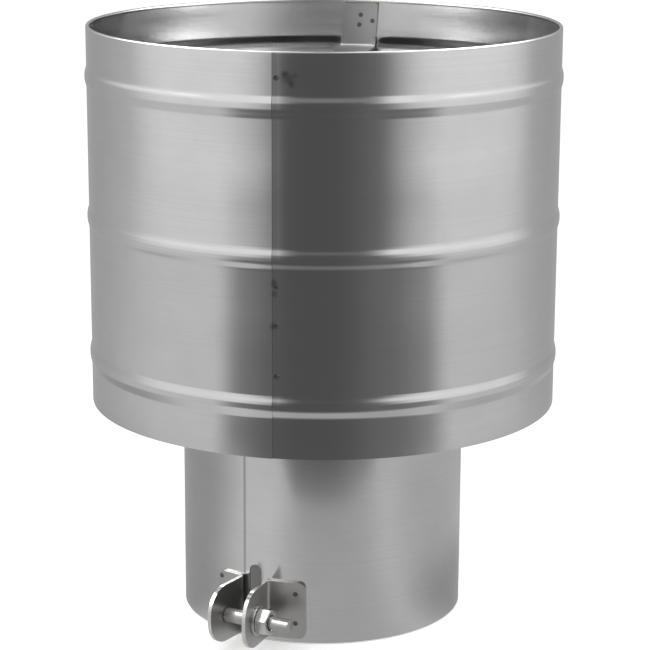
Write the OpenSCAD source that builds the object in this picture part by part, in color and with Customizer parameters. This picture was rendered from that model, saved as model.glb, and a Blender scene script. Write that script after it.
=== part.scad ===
// Anti-downdraught cowl: a beaded drum round the mouth of a flue spigot,
// with a rain disc under the drum's open top and a split clamp at the foot.
// Millimetres, +Z up. The origin is the centre of the spigot's lower end.
// Azimuths are degrees from the front (-Y), positive towards +X.

/* [Flue spigot] */
// Outside diameter of the spigot
spigot_d = 152; // [140:1:180]
// Length of the spigot, from its lower end to its mouth inside the drum
spigot_len = 215; // [180:1:250]
// Sheet thickness of the spigot
spigot_t = 0.6; // [0.5:0.1:1.2]
// Turn of the spigot's welded seam from the middle of the clamp
spigot_seam_turn = -3.9; // [-8:0.1:8]

/* [Drum] */
// Outside diameter of the drum's plain wall
drum_d = 250; // [240:1:300]
// Height of the drum
drum_h = 201.3; // [199:0.1:240]
// Height of the drum's lower edge above the spigot's lower end
drum_z = 116.7; // [90:0.1:130]
// Sheet thickness of the drum
drum_t = 0.6; // [0.5:0.1:1.0]
// Distance from the rim down to the middle of the top bead
bead_drop = 25.4; // [22:0.1:30]
// Distance from one bead to the next
bead_pitch = 74.8; // [72:0.1:78]
// Height of a bead along the wall
bead_h = 9.5; // [7:0.5:12]
// How far a bead stands out of the wall
bead_out = 1.0; // [0.6:0.1:1.6]
// Outer radius of the curl along the rim
curl_r = 1.0; // [0.9:0.1:1.6]
// Azimuth of the drum's lap seam
seam_az = -11.4; // [-30:0.1:10]
// Overlap of the two sheet ends at the lap seam
lap_w = 12; // [8:0.5:18]

/* [Rain disc] */
// Diameter of the rain disc
disc_d = 180; // [165:1:195]
// Distance from the rim down to the top face of the disc
disc_drop = 28; // [24:0.5:40]
// Sheet thickness of the disc
disc_t = 0.8; // [0.6:0.1:1.2]
// Depth of the disc's turned-down edge
disc_skirt = 6; // [4:0.5:12]
// Outer radius of the bend at the disc's edge
disc_bend_r = 2.5; // [1.5:0.1:4]

/* [Straps and brackets] */
// Width of the steel strip of which straps and brackets are bent
strip_w = 20; // [14:1:26]
// Thickness of that strip
strip_t = 1.5; // [1:0.1:2]
// Inside radius of each bend in the strip
strip_bend_r = 1.5; // [1:0.1:3]
// Azimuth of the rear disc strap, the others stand 120 degrees apart
strap_az = 170.1; // [165:0.1:180]
// Lean of each strap on the drum's wall
strap_lean = 3.5; // [0:0.1:5]
// How far a strap reaches in over the disc
strap_reach = 31; // [20:1:36]
// Turn of the drum brackets from the disc straps
bracket_turn = 48; // [45:1:50]
// Height of a drum bracket's span above the drum's lower edge
bracket_rise = 40; // [36:1:44]
// Height of a drum bracket's two upright legs
bracket_leg = 25; // [20:1:27]

/* [Clamp] */
// Azimuth of the middle of the clamp
clamp_az = -27.5; // [-28.5:0.5:-27]
// Angle from the middle of the clamp to each ear
ear_half = 5.4; // [5.2:0.1:6.4]
// Width of the slit in the spigot
slit_w = 7; // [4:0.5:8]
// Height of the slit
slit_h = 41; // [38:1:50]
// Height of the clamp lugs above the spigot's lower end
lug_z = 3.2; // [2:0.1:4]
// Height of a clamp lug
lug_h = 31; // [30.6:0.1:36]
// Thickness of a clamp lug
lug_t = 2; // [1.5:0.1:2.5]
// How far the ear stands out from the spigot
ear_len = 31.5; // [29:0.5:34]
// Radius of the ear's two outer corners
ear_r = 13.5; // [8:0.5:14]
// Length of the right lug's curved flange along the spigot
right_flange = 21.3; // [19:0.1:26]
// Length of the left lug's curved flange along the spigot
left_flange = 16; // [16:0.5:26]
// Radius of the flange's outer corners
flange_r = 4; // [1:0.5:6]
// Inside radius of the bend between ear and flange
lug_bend_r = 1.8; // [1:0.1:3]
// Distance from the spigot's wall out to the bolt's axis
bolt_out = 16.5; // [15:0.5:18]
// Height of the bolt's axis above the spigot's lower end
bolt_z = 17.6; // [16:0.1:19]
// Thread diameter of the bolt
bolt_d = 8; // [6:1:8]
// Length of the bolt under its head
bolt_len = 40; // [36:1:46]
// Width across flats of the nut and of the bolt's head
hex_af = 13; // [11:0.5:13.5]
// Height of the bolt's head
head_h = 5.3; // [4:0.1:6]
// Height of the nut
nut_h = 6.5; // [5:0.1:7]
// Turn of the nut at rest: at 0 one of its flats faces outwards
nut_turn = -18; // [-30:1:30]
// Outside diameter of the washers
washer_d = 16; // [15:0.5:18]
// Thickness of the washers
washer_t = 1.6; // [1:0.1:2]

/* [Welds] */
// Diameter of a spot-weld mark
weld_d = 3; // [2:0.5:4]
// Height of a spot-weld mark
weld_h = 0.25; // [0.1:0.05:0.4]

/* [Clearances] */
// Room all round the bolt in an ear's hole
bolt_room = 0.5; // [0.3:0.1:0.8]
// Room all round the bolt in a washer
washer_room = 0.2; // [0.15:0.05:0.3]
// Running room between the bolt and the nut's bore
thread_room = 0.05; // [0.02:0.01:0.08]
// Gap between faces of the clamp's loose pieces
seat_gap = 0.05; // [0.02:0.01:0.2]

/* [Hidden] */
$fn = 96;
eps = 0.01;
spigot_r = spigot_d / 2;
bore_r = spigot_r - spigot_t;
drum_r = drum_d / 2;
drum_in = drum_r - drum_t;
rim_z = drum_z + drum_h;
bead_count = 3;
// A circular arc with the bead's height as chord and its stand-out as rise
bead_r = (pow(bead_h / 2, 2) + pow(bead_out, 2)) / (2 * bead_out);
curl_end_deg = 250;
seam_gap = 0.4;
seam_depth = 0.25;
// Depth to which the sheet's two ends are fused along the lap
lap_bond = 0.1;
disc_r = disc_d / 2;
disc_top = rim_z - disc_drop;
strap_top = rim_z - 2 * curl_r;
// How far the lap's inner end stays from the curl and from the drum's lower edge
lap_inset = 1;
lap_top = strap_top - lap_inset;
bracket_z = drum_z + bracket_rise;
bolt_rho = spigot_r + bolt_out;
bolt_r = bolt_d / 2;
hole_r = bolt_r + bolt_room;
hex_face_r = 0.475 * hex_af;
hex_corner_r = hex_af / (2 * cos(30));
thirds = [0, 120, 240];
bend_steps = 6;
strip_sector = 70;
// Where the bolt's axis meets a plane parallel to an ear, at an offset from the ear's middle
function axis_at(offset) = (offset + bolt_rho * sin(ear_half)) / cos(ear_half);
washer_face = lug_t / 2 + seat_gap + washer_t;
// An ear leans away from the bolt's normal plane, so the nut clears the washer by the lean
hex_seat = axis_at(washer_face) + hex_face_r * tan(ear_half) + seat_gap;
head_seat = axis_at(lug_t / 2) + hex_face_r * tan(ear_half) + seat_gap;
// Places of the seam's spot welds, in bead pitches below the top bead
seam_spots = [-0.17, 1.19, 1.45, 1.79];
// Places of a strap's welds on the wall: along the wall and down from the strap's top
strap_spots = [[0, 6.8], [0.8, 12.5], [-6.8, 10.1]];
// Places of the welds on a flange: from the ear along the flange, and up from the lug's lower edge
right_spots = [[16, 8.6], [16, 24.8]];
left_spots = [[13.8, 8.6], [13.8, 28]];
// Place of the other welds, as a share of a leg's or a strap's length
leg_spot = 0.6;

// Helpers

// Turns a piece built at the front (-Y) round to an azimuth
module at_azimuth(az) {
    rotate([0, 0, az])
        children();
}

// Angle that covers a distance along a round wall
function arc_deg(distance, r) = distance / r * 180 / PI;

// A unit vector from one point to another
function unit(a, b) = (b - a) / norm(b - a);

// The points of a path whose corners are rounded to a centre-line radius
function rounded(path, r) = [
    for (i = [0 : len(path) - 1])
        if (i == 0 || i == len(path) - 1)
            path[i]
        else
            let (u = unit(path[i], path[i - 1]),
                 v = unit(path[i], path[i + 1]),
                 half = acos(u * v) / 2,
                 mid = (u + v) / norm(u + v),
                 centre = path[i] + mid * r / sin(half),
                 start = path[i] + u * r / tan(half) - centre,
                 a0 = atan2(start[1], start[0]),
                 turn = (u[0] * v[1] - u[1] * v[0] > 0 ? -1 : 1) * (180 - 2 * half))
                each [for (k = [0 : bend_steps])
                    centre + r * [cos(a0 + turn * k / bend_steps), sin(a0 + turn * k / bend_steps)]]
];

// The left-hand normal of a path at point i, scaled so that parallel sides keep their distance
function mitre(path, i) =
    let (n = len(path) - 1,
         u = unit(path[max(i - 1, 0)], path[max(i, 1)]),
         v = unit(path[min(i, n - 1)], path[min(i + 1, n)]),
         m = [-u[1] - v[1], u[0] + v[0]] / norm(u + v))
        m / (m * [-u[1], u[0]]);

// A strip of even thickness bent along a path in the plane
module bent_strip(path, t, r_in) {
    p = rounded(path, r_in + t / 2);
    last = len(p) - 1;
    left = [for (i = [0 : last]) p[i] + mitre(p, i) * t / 2];
    right = [for (i = [last : -1 : 0]) p[i] - mitre(p, i) * t / 2];
    polygon(concat(left, right));
}

// A piece of strip that follows the drum's round walls, cut to the strip's width.
// Its legs lie flat on the walls because the profile is turned about the drum's axis.
module wall_strip(path, inner_end, lean = 0) {
    intersection() {
        rotate([0, 0, -90 - strip_sector / 2])
            rotate_extrude(angle = strip_sector)
                bent_strip(path, strip_t, strip_bend_r);
        translate([0, -inner_end, strap_top])
            rotate([0, -lean, 0])
                translate([-strip_w / 2, -drum_r, -rim_z])
                    cube([strip_w, drum_r, 2 * rim_z]);
    }
}

// Spigot

// The slit that lets the foot of the spigot close, with a round end
module slit() {
    at_azimuth(clamp_az)
        translate([0, -spigot_r, 0]) {
            translate([-slit_w / 2, -spigot_t * 4, -1])
                cube([slit_w, spigot_t * 8, slit_h - slit_w / 2 + 1]);
            translate([0, spigot_t * 4, slit_h - slit_w / 2])
                rotate([90, 0, 0])
                    cylinder(d = slit_w, h = spigot_t * 8);
        }
}

module flue_spigot() {
    color("silver")
        difference() {
            cylinder(r = spigot_r, h = spigot_len);
            translate([0, 0, -1])
                cylinder(r = bore_r, h = spigot_len + 2);
            slit();
            at_azimuth(clamp_az + spigot_seam_turn)
                translate([-seam_gap / 2, -spigot_r - 1, slit_h + 4])
                    cube([seam_gap, 1 + seam_depth, spigot_len]);
        }
}

// Drum

// The circles of the rolled beads, drawn for a wall face at radius r
module bead_circles(r) {
    for (i = [0 : bead_count - 1])
        translate([r + bead_out - bead_r, rim_z - bead_drop - i * bead_pitch])
            circle(r = bead_r);
}

// Cross-section of the drum's sheet, radius along X and height along Y.
// The sheet keeps its thickness along the radius through the beads.
module drum_profile() {
    difference() {
        union() {
            translate([drum_in, drum_z])
                square([drum_t, drum_h - curl_r]);
            intersection() {
                bead_circles(drum_r);
                translate([drum_r - drum_t / 2, drum_z])
                    square([drum_t + bead_out, drum_h]);
            }
        }
        bead_circles(drum_in);
    }
}

// The rim's curl, rolled inwards from the wall and left open below
module curl_profile() {
    translate([drum_r - curl_r, rim_z - curl_r])
        difference() {
            circle(r = curl_r);
            circle(r = curl_r - drum_t);
            rotate(curl_end_deg)
                square(2 * curl_r);
            translate([0, -2 * curl_r])
                square(2 * curl_r);
        }
}

// The sheet's inner end, which backs the outer end along the lap seam
module lap_sector() {
    lap_deg = arc_deg(lap_w, drum_r);
    rotate([0, 0, seam_az - 90 - lap_deg / 2])
        rotate_extrude(angle = lap_deg)
            intersection() {
                union()
                    for (inward = [drum_t, drum_t - lap_bond])
                        translate([-inward, 0])
                            drum_profile();
                translate([0, drum_z + lap_inset])
                    square([2 * drum_r, lap_top - drum_z - lap_inset]);
            }
}

module drum_shell() {
    color("lightsteelblue") {
        difference() {
            rotate_extrude() {
                drum_profile();
                curl_profile();
            }
            at_azimuth(seam_az)
                translate([-seam_gap / 2, -drum_r - bead_out - 1, drum_z - 1])
                    cube([seam_gap, 2 * drum_t + bead_out + 1, lap_top - drum_z + 1]);
        }
        lap_sector();
    }
}

// Rain disc and its straps

// Cross-section of the disc: a flat sheet with a turned-down edge
module disc_profile() {
    r = disc_r - disc_bend_r;
    translate([0, disc_top - disc_t])
        square([r, disc_t]);
    translate([disc_r - disc_t, disc_top - disc_skirt])
        square([disc_t, disc_skirt - disc_bend_r]);
    translate([r, disc_top - disc_bend_r])
        intersection() {
            square(disc_bend_r);
            difference() {
                circle(r = disc_bend_r);
                circle(r = disc_bend_r - disc_t);
            }
        }
}

module rain_disc() {
    color("gainsboro")
        rotate_extrude()
            disc_profile();
}

// A strap runs down the wall and turns in over the disc
module disc_strap(az) {
    mid = strip_t / 2;
    inner_end = disc_r - strap_reach;
    path = [[drum_in - mid, strap_top],
            [drum_in - mid, disc_top + mid],
            [inner_end - 2, disc_top + mid]];
    color("darkgray")
        at_azimuth(az)
            wall_strip(path, inner_end, strap_lean);
}

module disc_strap_rear() {
    disc_strap(strap_az);
}

module disc_strap_left() {
    disc_strap(strap_az + 120);
}

module disc_strap_right() {
    disc_strap(strap_az - 120);
}

// Drum brackets

// A bracket is a trough of strip between the spigot and the drum's wall
module drum_bracket(az) {
    mid = strip_t / 2;
    path = [[spigot_r + mid, bracket_z + bracket_leg],
            [spigot_r + mid, bracket_z + mid],
            [drum_in - mid, bracket_z + mid],
            [drum_in - mid, bracket_z + bracket_leg]];
    color("darkgray")
        at_azimuth(az)
            wall_strip(path, 0);
}

module drum_bracket_front() {
    drum_bracket(strap_az + 120 + bracket_turn);
}

module drum_bracket_left() {
    drum_bracket(strap_az + bracket_turn);
}

module drum_bracket_right() {
    drum_bracket(strap_az - 120 + bracket_turn);
}

// Clamp

// Turns a piece built along +Z on the bolt's axis into its place
module on_bolt(s) {
    at_azimuth(clamp_az)
        translate([s, -bolt_rho, bolt_z])
            rotate([0, 90, 0])
                children();
}

// Plan of a lug: an ear along the radius, a bend and a flange round the spigot
module lug_plan(flange_len) {
    flange_out = spigot_r + lug_t;
    flange_deg = arc_deg(flange_len, spigot_r);
    bend_x = lug_t / 2 + lug_bend_r;
    bend_y = sqrt(pow(flange_out + lug_bend_r, 2) - pow(bend_x, 2));
    heel_r = lug_t + lug_bend_r;
    difference() {
        union() {
            intersection() {
                difference() {
                    circle(r = flange_out, $fn = 180);
                    circle(r = spigot_r, $fn = 180);
                }
                polygon([[-lug_t / 2, 0],
                         [-lug_t / 2, -2 * spigot_r],
                         [2 * spigot_r * tan(flange_deg), -2 * spigot_r]]);
            }
            translate([-lug_t / 2, -spigot_r - ear_len])
                square([lug_t, ear_len + 0.1]);
            translate([0, -bend_y])
                square([bend_x, bend_y - spigot_r - lug_t / 2]);
        }
        translate([bend_x, -bend_y])
            circle(r = lug_bend_r, $fn = 48);
        circle(r = spigot_r, $fn = 180);
        translate([-lug_t / 2, -spigot_r - heel_r])
            difference() {
                translate([-1, 0])
                    square([heel_r + 1, heel_r + 2]);
                translate([heel_r, 0])
                    circle(r = heel_r, $fn = 48);
            }
    }
}

// Side view of an ear: a plate with two round outer corners
module ear_outline() {
    translate([0, lug_z]) {
        translate([spigot_r - 10, 0])
            square([ear_len + 10 - ear_r, lug_h]);
        translate([spigot_r, ear_r])
            square([ear_len, lug_h - 2 * ear_r]);
        for (z = [ear_r, lug_h - ear_r])
            translate([spigot_r + ear_len - ear_r, z])
                circle(r = ear_r);
    }
}

// Front view of the flange: a plate with two round outer corners
module flange_outline(flange_len) {
    far = spigot_r * sin(arc_deg(flange_len, spigot_r));
    translate([0, lug_z]) {
        translate([-lug_t, 0])
            square([far + lug_t - flange_r, lug_h]);
        translate([-lug_t, flange_r])
            square([far + lug_t, lug_h - 2 * flange_r]);
        for (z = [flange_r, lug_h - flange_r])
            translate([far - flange_r, z])
                circle(r = flange_r);
    }
}

// A lug bent from plate, its ear at the front and its flange running to +X
module lug_blank(flange_len) {
    intersection() {
        linear_extrude(lug_z + lug_h + 1)
            lug_plan(flange_len);
        rotate([90, 0, -90])
            translate([0, 0, -spigot_r])
                linear_extrude(2 * spigot_r)
                    ear_outline();
        rotate([90, 0, 0])
            linear_extrude(2 * spigot_r)
                flange_outline(flange_len);
    }
}

module clamp_lug(side, flange_len) {
    color("slategray")
        difference() {
            at_azimuth(clamp_az + side * ear_half)
                mirror([side < 0 ? 1 : 0, 0, 0])
                    lug_blank(flange_len);
            on_bolt(-spigot_r)
                cylinder(r = hole_r, h = 2 * spigot_r);
        }
}

module clamp_lug_left() {
    clamp_lug(-1, left_flange);
}

module clamp_lug_right() {
    clamp_lug(1, right_flange);
}

// A washer lies flat on its ear, so it leans with the ear
module nut_washer() {
    middle = lug_t / 2 + seat_gap + washer_t / 2;
    along = axis_at(middle) * sin(ear_half) + bolt_rho * cos(ear_half);
    color("gainsboro")
        at_azimuth(clamp_az + ear_half)
            translate([middle, -along, bolt_z])
                rotate([0, 90, 0])
                    difference() {
                        cylinder(d = washer_d, h = washer_t, center = true);
                        cylinder(r = bolt_r + washer_room, h = 2 * washer_t, center = true);
                    }
}

// A hexagonal block with chamfered corners, a flat to the front
module hex_block(h) {
    outer = hex_corner_r + 1;
    fall = (outer - hex_face_r) * tan(30);
    intersection() {
        cylinder(r = hex_corner_r, h = h, $fn = 6);
        rotate_extrude()
            polygon([[0, 0],
                     [hex_face_r, 0],
                     [outer, fall],
                     [outer, h - fall],
                     [hex_face_r, h],
                     [0, h]]);
    }
}

module clamp_bolt() {
    tip = bolt_d / 8;
    color("lightgray") {
        on_bolt(-head_seat)
            rotate_extrude()
                polygon([[0, -eps],
                         [bolt_r, -eps],
                         [bolt_r, bolt_len - tip],
                         [bolt_r - tip, bolt_len],
                         [0, bolt_len]]);
        on_bolt(-head_seat)
            mirror([0, 0, 1])
                hex_block(head_h);
    }
}

module clamp_nut() {
    color("white")
        difference() {
            on_bolt(hex_seat)
                rotate([0, 0, nut_turn])
                    hex_block(nut_h);
            on_bolt(hex_seat - 1)
                cylinder(r = bolt_r + thread_room, h = nut_h + 2);
        }
}

// Welds

// A spot-weld mark, standing on the XY plane
module weld_mark() {
    cylinder(r1 = weld_d / 2, r2 = weld_d / 3, h = weld_h);
}

// A mark on the outside of a round wall
module mark_outside(az, r, z) {
    at_azimuth(az)
        translate([0, -r, z])
            rotate([90, 0, 0])
                weld_mark();
}

// A mark on the inside of a round wall, whose flat foot rests on its edges
module mark_inside(az, r, z) {
    at_azimuth(az)
        translate([0, -sqrt(r * r - weld_d * weld_d / 4), z])
            rotate([-90, 0, 0])
                weld_mark();
}

// The marks stand on the sheet that ends at the seam, beside its edge
module drum_seam_welds() {
    beside = arc_deg(weld_d / 2 + 0.5, drum_r);
    color("dimgray")
        for (spot = seam_spots)
            mark_outside(seam_az + beside, drum_r, rim_z - bead_drop - spot * bead_pitch);
}

module strap_wall_welds() {
    r = drum_in - strip_t;
    color("dimgray")
        for (turn = thirds)
            for (spot = strap_spots)
                mark_inside(strap_az + turn + arc_deg(spot[0], r), r, strap_top - spot[1]);
}

module strap_disc_welds() {
    color("dimgray")
        for (turn = thirds)
            at_azimuth(strap_az + turn)
                for (side = [-1, 1])
                    translate([side * strip_w / 4, strap_reach * leg_spot - disc_r, disc_top + strip_t])
                        weld_mark();
}

module bracket_welds() {
    z = bracket_z + bracket_leg * leg_spot;
    color("dimgray")
        for (turn = thirds)
            for (side = [-1, 1])
                for (place = [[spigot_r + strip_t, 1], [drum_in - strip_t, -1]])
                    if (place[1] > 0)
                        mark_outside(strap_az + bracket_turn + turn
                                     + arc_deg(side * strip_w / 4, place[0]), place[0], z);
                    else
                        mark_inside(strap_az + bracket_turn + turn
                                    + arc_deg(side * strip_w / 4, place[0]), place[0], z);
}

module lug_welds() {
    r = spigot_r + lug_t;
    color("dimgray")
        for (lug = [[-1, left_spots], [1, right_spots]])
            for (spot = lug[1])
                mark_outside(clamp_az + lug[0] * (ear_half + arc_deg(spot[0], r)), r, lug_z + spot[1]);
}

flue_spigot();
drum_shell();
rain_disc();
disc_strap_rear();
disc_strap_left();
disc_strap_right();
drum_bracket_front();
drum_bracket_left();
drum_bracket_right();
clamp_lug_left();
clamp_lug_right();
nut_washer();
clamp_bolt();
clamp_nut();
drum_seam_welds();
strap_wall_welds();
strap_disc_welds();
bracket_welds();
lug_welds();
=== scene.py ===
"""Looks of an anti-downdraught cowl: a beaded stainless drum on a clamped flue spigot."""

import logging
import math
from collections.abc import Callable, Sequence
from dataclasses import dataclass, field
from enum import Enum

import bmesh
import bpy
import numpy as np
from mathutils import Matrix, Vector
from mathutils.geometry import delaunay_2d_cdt


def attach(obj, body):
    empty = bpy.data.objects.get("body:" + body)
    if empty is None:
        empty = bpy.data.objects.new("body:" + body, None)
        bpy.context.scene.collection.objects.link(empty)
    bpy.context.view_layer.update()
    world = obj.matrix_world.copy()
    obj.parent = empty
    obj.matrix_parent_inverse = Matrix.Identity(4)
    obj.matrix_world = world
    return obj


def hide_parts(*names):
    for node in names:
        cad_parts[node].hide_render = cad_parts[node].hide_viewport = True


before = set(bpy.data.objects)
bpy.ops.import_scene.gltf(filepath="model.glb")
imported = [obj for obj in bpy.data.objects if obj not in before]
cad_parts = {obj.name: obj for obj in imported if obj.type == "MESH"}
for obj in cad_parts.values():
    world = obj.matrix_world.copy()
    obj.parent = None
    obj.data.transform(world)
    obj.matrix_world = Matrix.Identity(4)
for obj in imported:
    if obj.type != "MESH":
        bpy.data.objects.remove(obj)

LOG = logging.getLogger("cowl")
MM = 0.001
COWL, BOLT, WASHER, NUT = "cowl", "bolt", "washer", "nut"
PICTURE_PX = 650
UP = Vector((0, 0, 1))

# Short names for Blender's types
Node, Socket, Tree = bpy.types.Node, bpy.types.NodeSocket, bpy.types.NodeTree
Material, Mesh, Piece = bpy.types.Material, bpy.types.Mesh, bpy.types.Object


# Small helpers


def linear(hex_colour: str) -> tuple[float, float, float, float]:
    """Turn an sRGB hex colour to the linear values that shaders take.

    Args:
        hex_colour: A colour such as "#C8C6C2".

    Returns:
        Linear red, green, blue and an alpha of 1.
    """
    parts = [int(hex_colour[i : i + 2], 16) / 255 for i in (1, 3, 5)]
    r, g, b = (c / 12.92 if c <= 0.04045 else ((c + 0.055) / 1.055) ** 2.4 for c in parts)
    return (r, g, b, 1.0)


def add_node(tree: Tree, kind: str, links: dict | None = None, **settings) -> Node:
    """Add a node with its settings and its inputs.

    Args:
        tree: The tree that gets the node.
        kind: The node's type name.
        links: Input name or number to a value, or to the socket that feeds it.
        **settings: Properties of the node itself.

    Returns:
        The new node.
    """
    node = tree.nodes.new(kind)
    for name, value in settings.items():
        setattr(node, name, value)
    for key, value in (links or {}).items():
        if isinstance(value, Socket):
            tree.links.new(value, node.inputs[key])
        else:
            node.inputs[key].default_value = value
    return node


def new_material(name: str) -> tuple[Material, Tree, Node]:
    """Start a material.

    Args:
        name: Its name.

    Returns:
        The material, its tree and its Principled shader.
    """
    mat = bpy.data.materials.new(name)
    mat.use_nodes = True
    return mat, mat.node_tree, mat.node_tree.nodes["Principled BSDF"]


def polar(radius: float, azimuth: float, z: float) -> Vector:
    """Place a point by its distance from the flue's axis.

    Args:
        radius: Distance from the axis, in metres.
        azimuth: Degrees from the front, positive towards +X.
        z: Height, in metres.

    Returns:
        The point.
    """
    a = math.radians(azimuth)
    return Vector((radius * math.sin(a), -radius * math.cos(a), z))


def out(azimuth: float) -> Vector:
    """Return the level direction away from the flue's axis."""
    return polar(1.0, azimuth, 0)


def arc_deg(length: float, radius: float) -> float:
    """Return the angle in degrees that covers a length along a round wall."""
    return math.degrees(length / radius)


def limited(value: float, low: float = 0.0, high: float = 1.0) -> float:
    """Return a value kept between two limits."""
    return min(max(value, low), high)


def link_mesh(mesh: Mesh, name: str) -> Piece:
    """Put a mesh into the scene.

    Args:
        mesh: The mesh.
        name: Name of the object and of its mesh.

    Returns:
        The object, at the origin.
    """
    mesh.name = name
    obj = bpy.data.objects.new(name, mesh)
    bpy.context.scene.collection.objects.link(obj)
    return obj


def solid(name: str, verts: Sequence, faces: Sequence, edges: Sequence = ()) -> Piece:
    """Make an object of points and faces, or of points and edges.

    Args:
        name: Name of the object.
        verts: Its points.
        faces: Its faces.
        edges: Its edges, where it has no faces.

    Returns:
        The object, at the origin.
    """
    mesh = bpy.data.meshes.new(name)
    mesh.from_pydata(verts, edges, faces)
    return link_mesh(mesh, name)


def drop(obj: Piece) -> None:
    """Remove a helper object and its mesh.

    Args:
        obj: The helper object.
    """
    mesh = obj.data
    bpy.data.objects.remove(obj)
    if mesh.users == 0:
        bpy.data.meshes.remove(mesh)


def outward(mesh: Mesh) -> None:
    """Turn a closed mesh so that its faces point outwards.

    Args:
        mesh: The mesh, which is changed in place.
    """
    bm = bmesh.new()
    bm.from_mesh(mesh)
    bmesh.ops.recalc_face_normals(bm, faces=bm.faces)
    if bm.calc_volume(signed=True) < 0:
        bmesh.ops.reverse_faces(bm, faces=bm.faces)
    bm.to_mesh(mesh)
    bm.free()


def smooth_to(mesh: Mesh, angle: float) -> None:
    """Shade a mesh smooth, apart from edges that are sharper than an angle in degrees."""
    mesh.shade_smooth()
    mesh.set_sharp_from_angle(angle=math.radians(angle))


def soften(obj: Piece, width: float, segments: int = 2, angle: float = 50) -> Piece:
    """Round a piece's sharp edges and weight its normals by face area.

    Args:
        obj: The piece.
        width: Width of the rounding, in metres.
        segments: Number of faces across it.
        angle: Edges sharper than this, in degrees, are rounded.

    Returns:
        The same piece.
    """
    obj.data.shade_smooth()
    bevel = obj.modifiers.new("edge_break", "BEVEL")
    bevel.width, bevel.segments = width, segments
    bevel.limit_method, bevel.angle_limit = "ANGLE", math.radians(angle)
    bevel.harden_normals = False
    normals = obj.modifiers.new("area_normals", "WEIGHTED_NORMAL")
    normals.keep_sharp, normals.weight = True, 80
    return obj


def ring_points(profile: Sequence[tuple[float, float]], count: int) -> list[Vector]:
    """Set points round the Z axis, ring by ring.

    Args:
        profile: Radius and height of each ring.
        count: Points in a ring.

    Returns:
        The points.
    """
    turns = [2 * math.pi * k / count for k in range(count)]
    return [Vector((r * math.cos(a), r * math.sin(a), z)) for r, z in profile for a in turns]


def ring_faces(rings: int, count: int, closed: bool = False, capped: bool = False) -> list[tuple[int, ...]]:
    """Join points that are listed ring by ring.

    Args:
        rings: Number of rings.
        count: Points in a ring.
        closed: Whether the last ring is joined to the first one.
        capped: Whether the first and the last ring are filled.

    Returns:
        The faces.
    """
    faces: list[tuple[int, ...]] = [
        (a * count + k, a * count + (k + 1) % count, b * count + (k + 1) % count, b * count + k)
        for a, b in ((i, (i + 1) % rings) for i in range(rings if closed else rings - 1))
        for k in range(count)
    ]
    if capped:
        faces.append(tuple(reversed(range(count))))
        faces.append(tuple(range((rings - 1) * count, rings * count)))
    return faces


def revolved(name: str, profile: Sequence[tuple[float, float]], steps: int, merge: float) -> Piece:
    """Revolve a profile round the Z axis to a closed solid.

    Args:
        name: Name of the object.
        profile: Radius and height of its points.
        steps: Faces round the axis.
        merge: Points closer than this, in metres, become one.

    Returns:
        The solid.
    """
    mesh = bpy.data.meshes.new(name)
    bm = bmesh.new()
    verts = [bm.verts.new((r, 0, z)) for r, z in profile]
    edges = [bm.edges.new(pair) for pair in zip(verts, verts[1:])]
    turn = {"cent": (0, 0, 0), "axis": (0, 0, 1), "angle": 2 * math.pi, "steps": steps}
    bmesh.ops.spin(bm, geom=[*verts, *edges], use_merge=True, **turn)
    bmesh.ops.remove_doubles(bm, verts=bm.verts, dist=merge)
    bm.to_mesh(mesh)
    bm.free()
    outward(mesh)
    return link_mesh(mesh, name)


def round_path(path: Sequence[Vector], radius: float, steps: int = 8) -> list[Vector]:
    """Round the corners of a plane path.

    Args:
        path: Its corner points.
        radius: Radius of each corner.
        steps: Faces round one corner.

    Returns:
        The points of the rounded path.
    """
    points = [path[0]]
    for before, corner, after in zip(path, path[1:], path[2:]):
        u, v = (before - corner).normalized(), (after - corner).normalized()
        half = u.angle(v) / 2
        centre = corner + (u + v).normalized() * radius / math.sin(half)
        a = (corner + u * radius / math.tan(half)) - centre
        b = (corner + v * radius / math.tan(half)) - centre
        turn = a.angle_signed(b)
        for k in range(steps + 1):
            c, s = math.cos(-turn * k / steps), math.sin(-turn * k / steps)
            points.append(centre + Vector((a.x * c - a.y * s, a.x * s + a.y * c)))
    return [*points, path[-1]]


def offset_path(path: Sequence[Vector], distance: float) -> list[Vector]:
    """Shift a plane path to its left by an even distance.

    Args:
        path: Its points.
        distance: The shift, in metres. A negative one goes to the right.

    Returns:
        The points of the shifted path.
    """
    # At a corner the shift grows with its sharpness, up to this share of a straight stretch's
    least_share = 0.3
    shifted = []
    for i, point in enumerate(path):
        u = (path[max(i, 1)] - path[max(i - 1, 0)]).normalized()
        v = (path[min(i + 1, len(path) - 1)] - path[min(i, len(path) - 2)]).normalized()
        left = (Vector((-u.y, u.x)) + Vector((-v.y, v.x))).normalized()
        shifted.append(point + left * distance / max(left.dot(Vector((-u.y, u.x))), least_share))
    return shifted


def lengths_along(path: Sequence[Vector]) -> list[float]:
    """Measure a path.

    Args:
        path: Its points.

    Returns:
        The length from its start to each of them.
    """
    run = [0.0]
    for a, b in zip(path, path[1:]):
        run.append(run[-1] + (b - a).length)
    return run


def point_along(path: Sequence[Vector], run: Sequence[float], length: float) -> Vector:
    """Find the point of a path that lies a length along a line with the same number of points.

    Args:
        path: The path's points.
        run: The length of the line up to each of its points.
        length: The length to look up.

    Returns:
        The point.
    """
    k = limited(int(np.searchsorted(run, length)) - 1, 0, len(run) - 2)
    return path[k].lerp(path[k + 1], (length - run[k]) / (run[k + 1] - run[k]))


def as_mesh(obj: Piece, name: str) -> Piece:
    """Turn an object with modifiers to a plain mesh.

    Args:
        obj: The object. It is removed.
        name: Name of the finished piece.

    Returns:
        The finished piece, at the origin.
    """
    depsgraph = bpy.context.evaluated_depsgraph_get()
    mesh = bpy.data.meshes.new_from_object(obj.evaluated_get(depsgraph))
    obj.modifiers.clear()
    drop(obj)
    return link_mesh(mesh, name)


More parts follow.
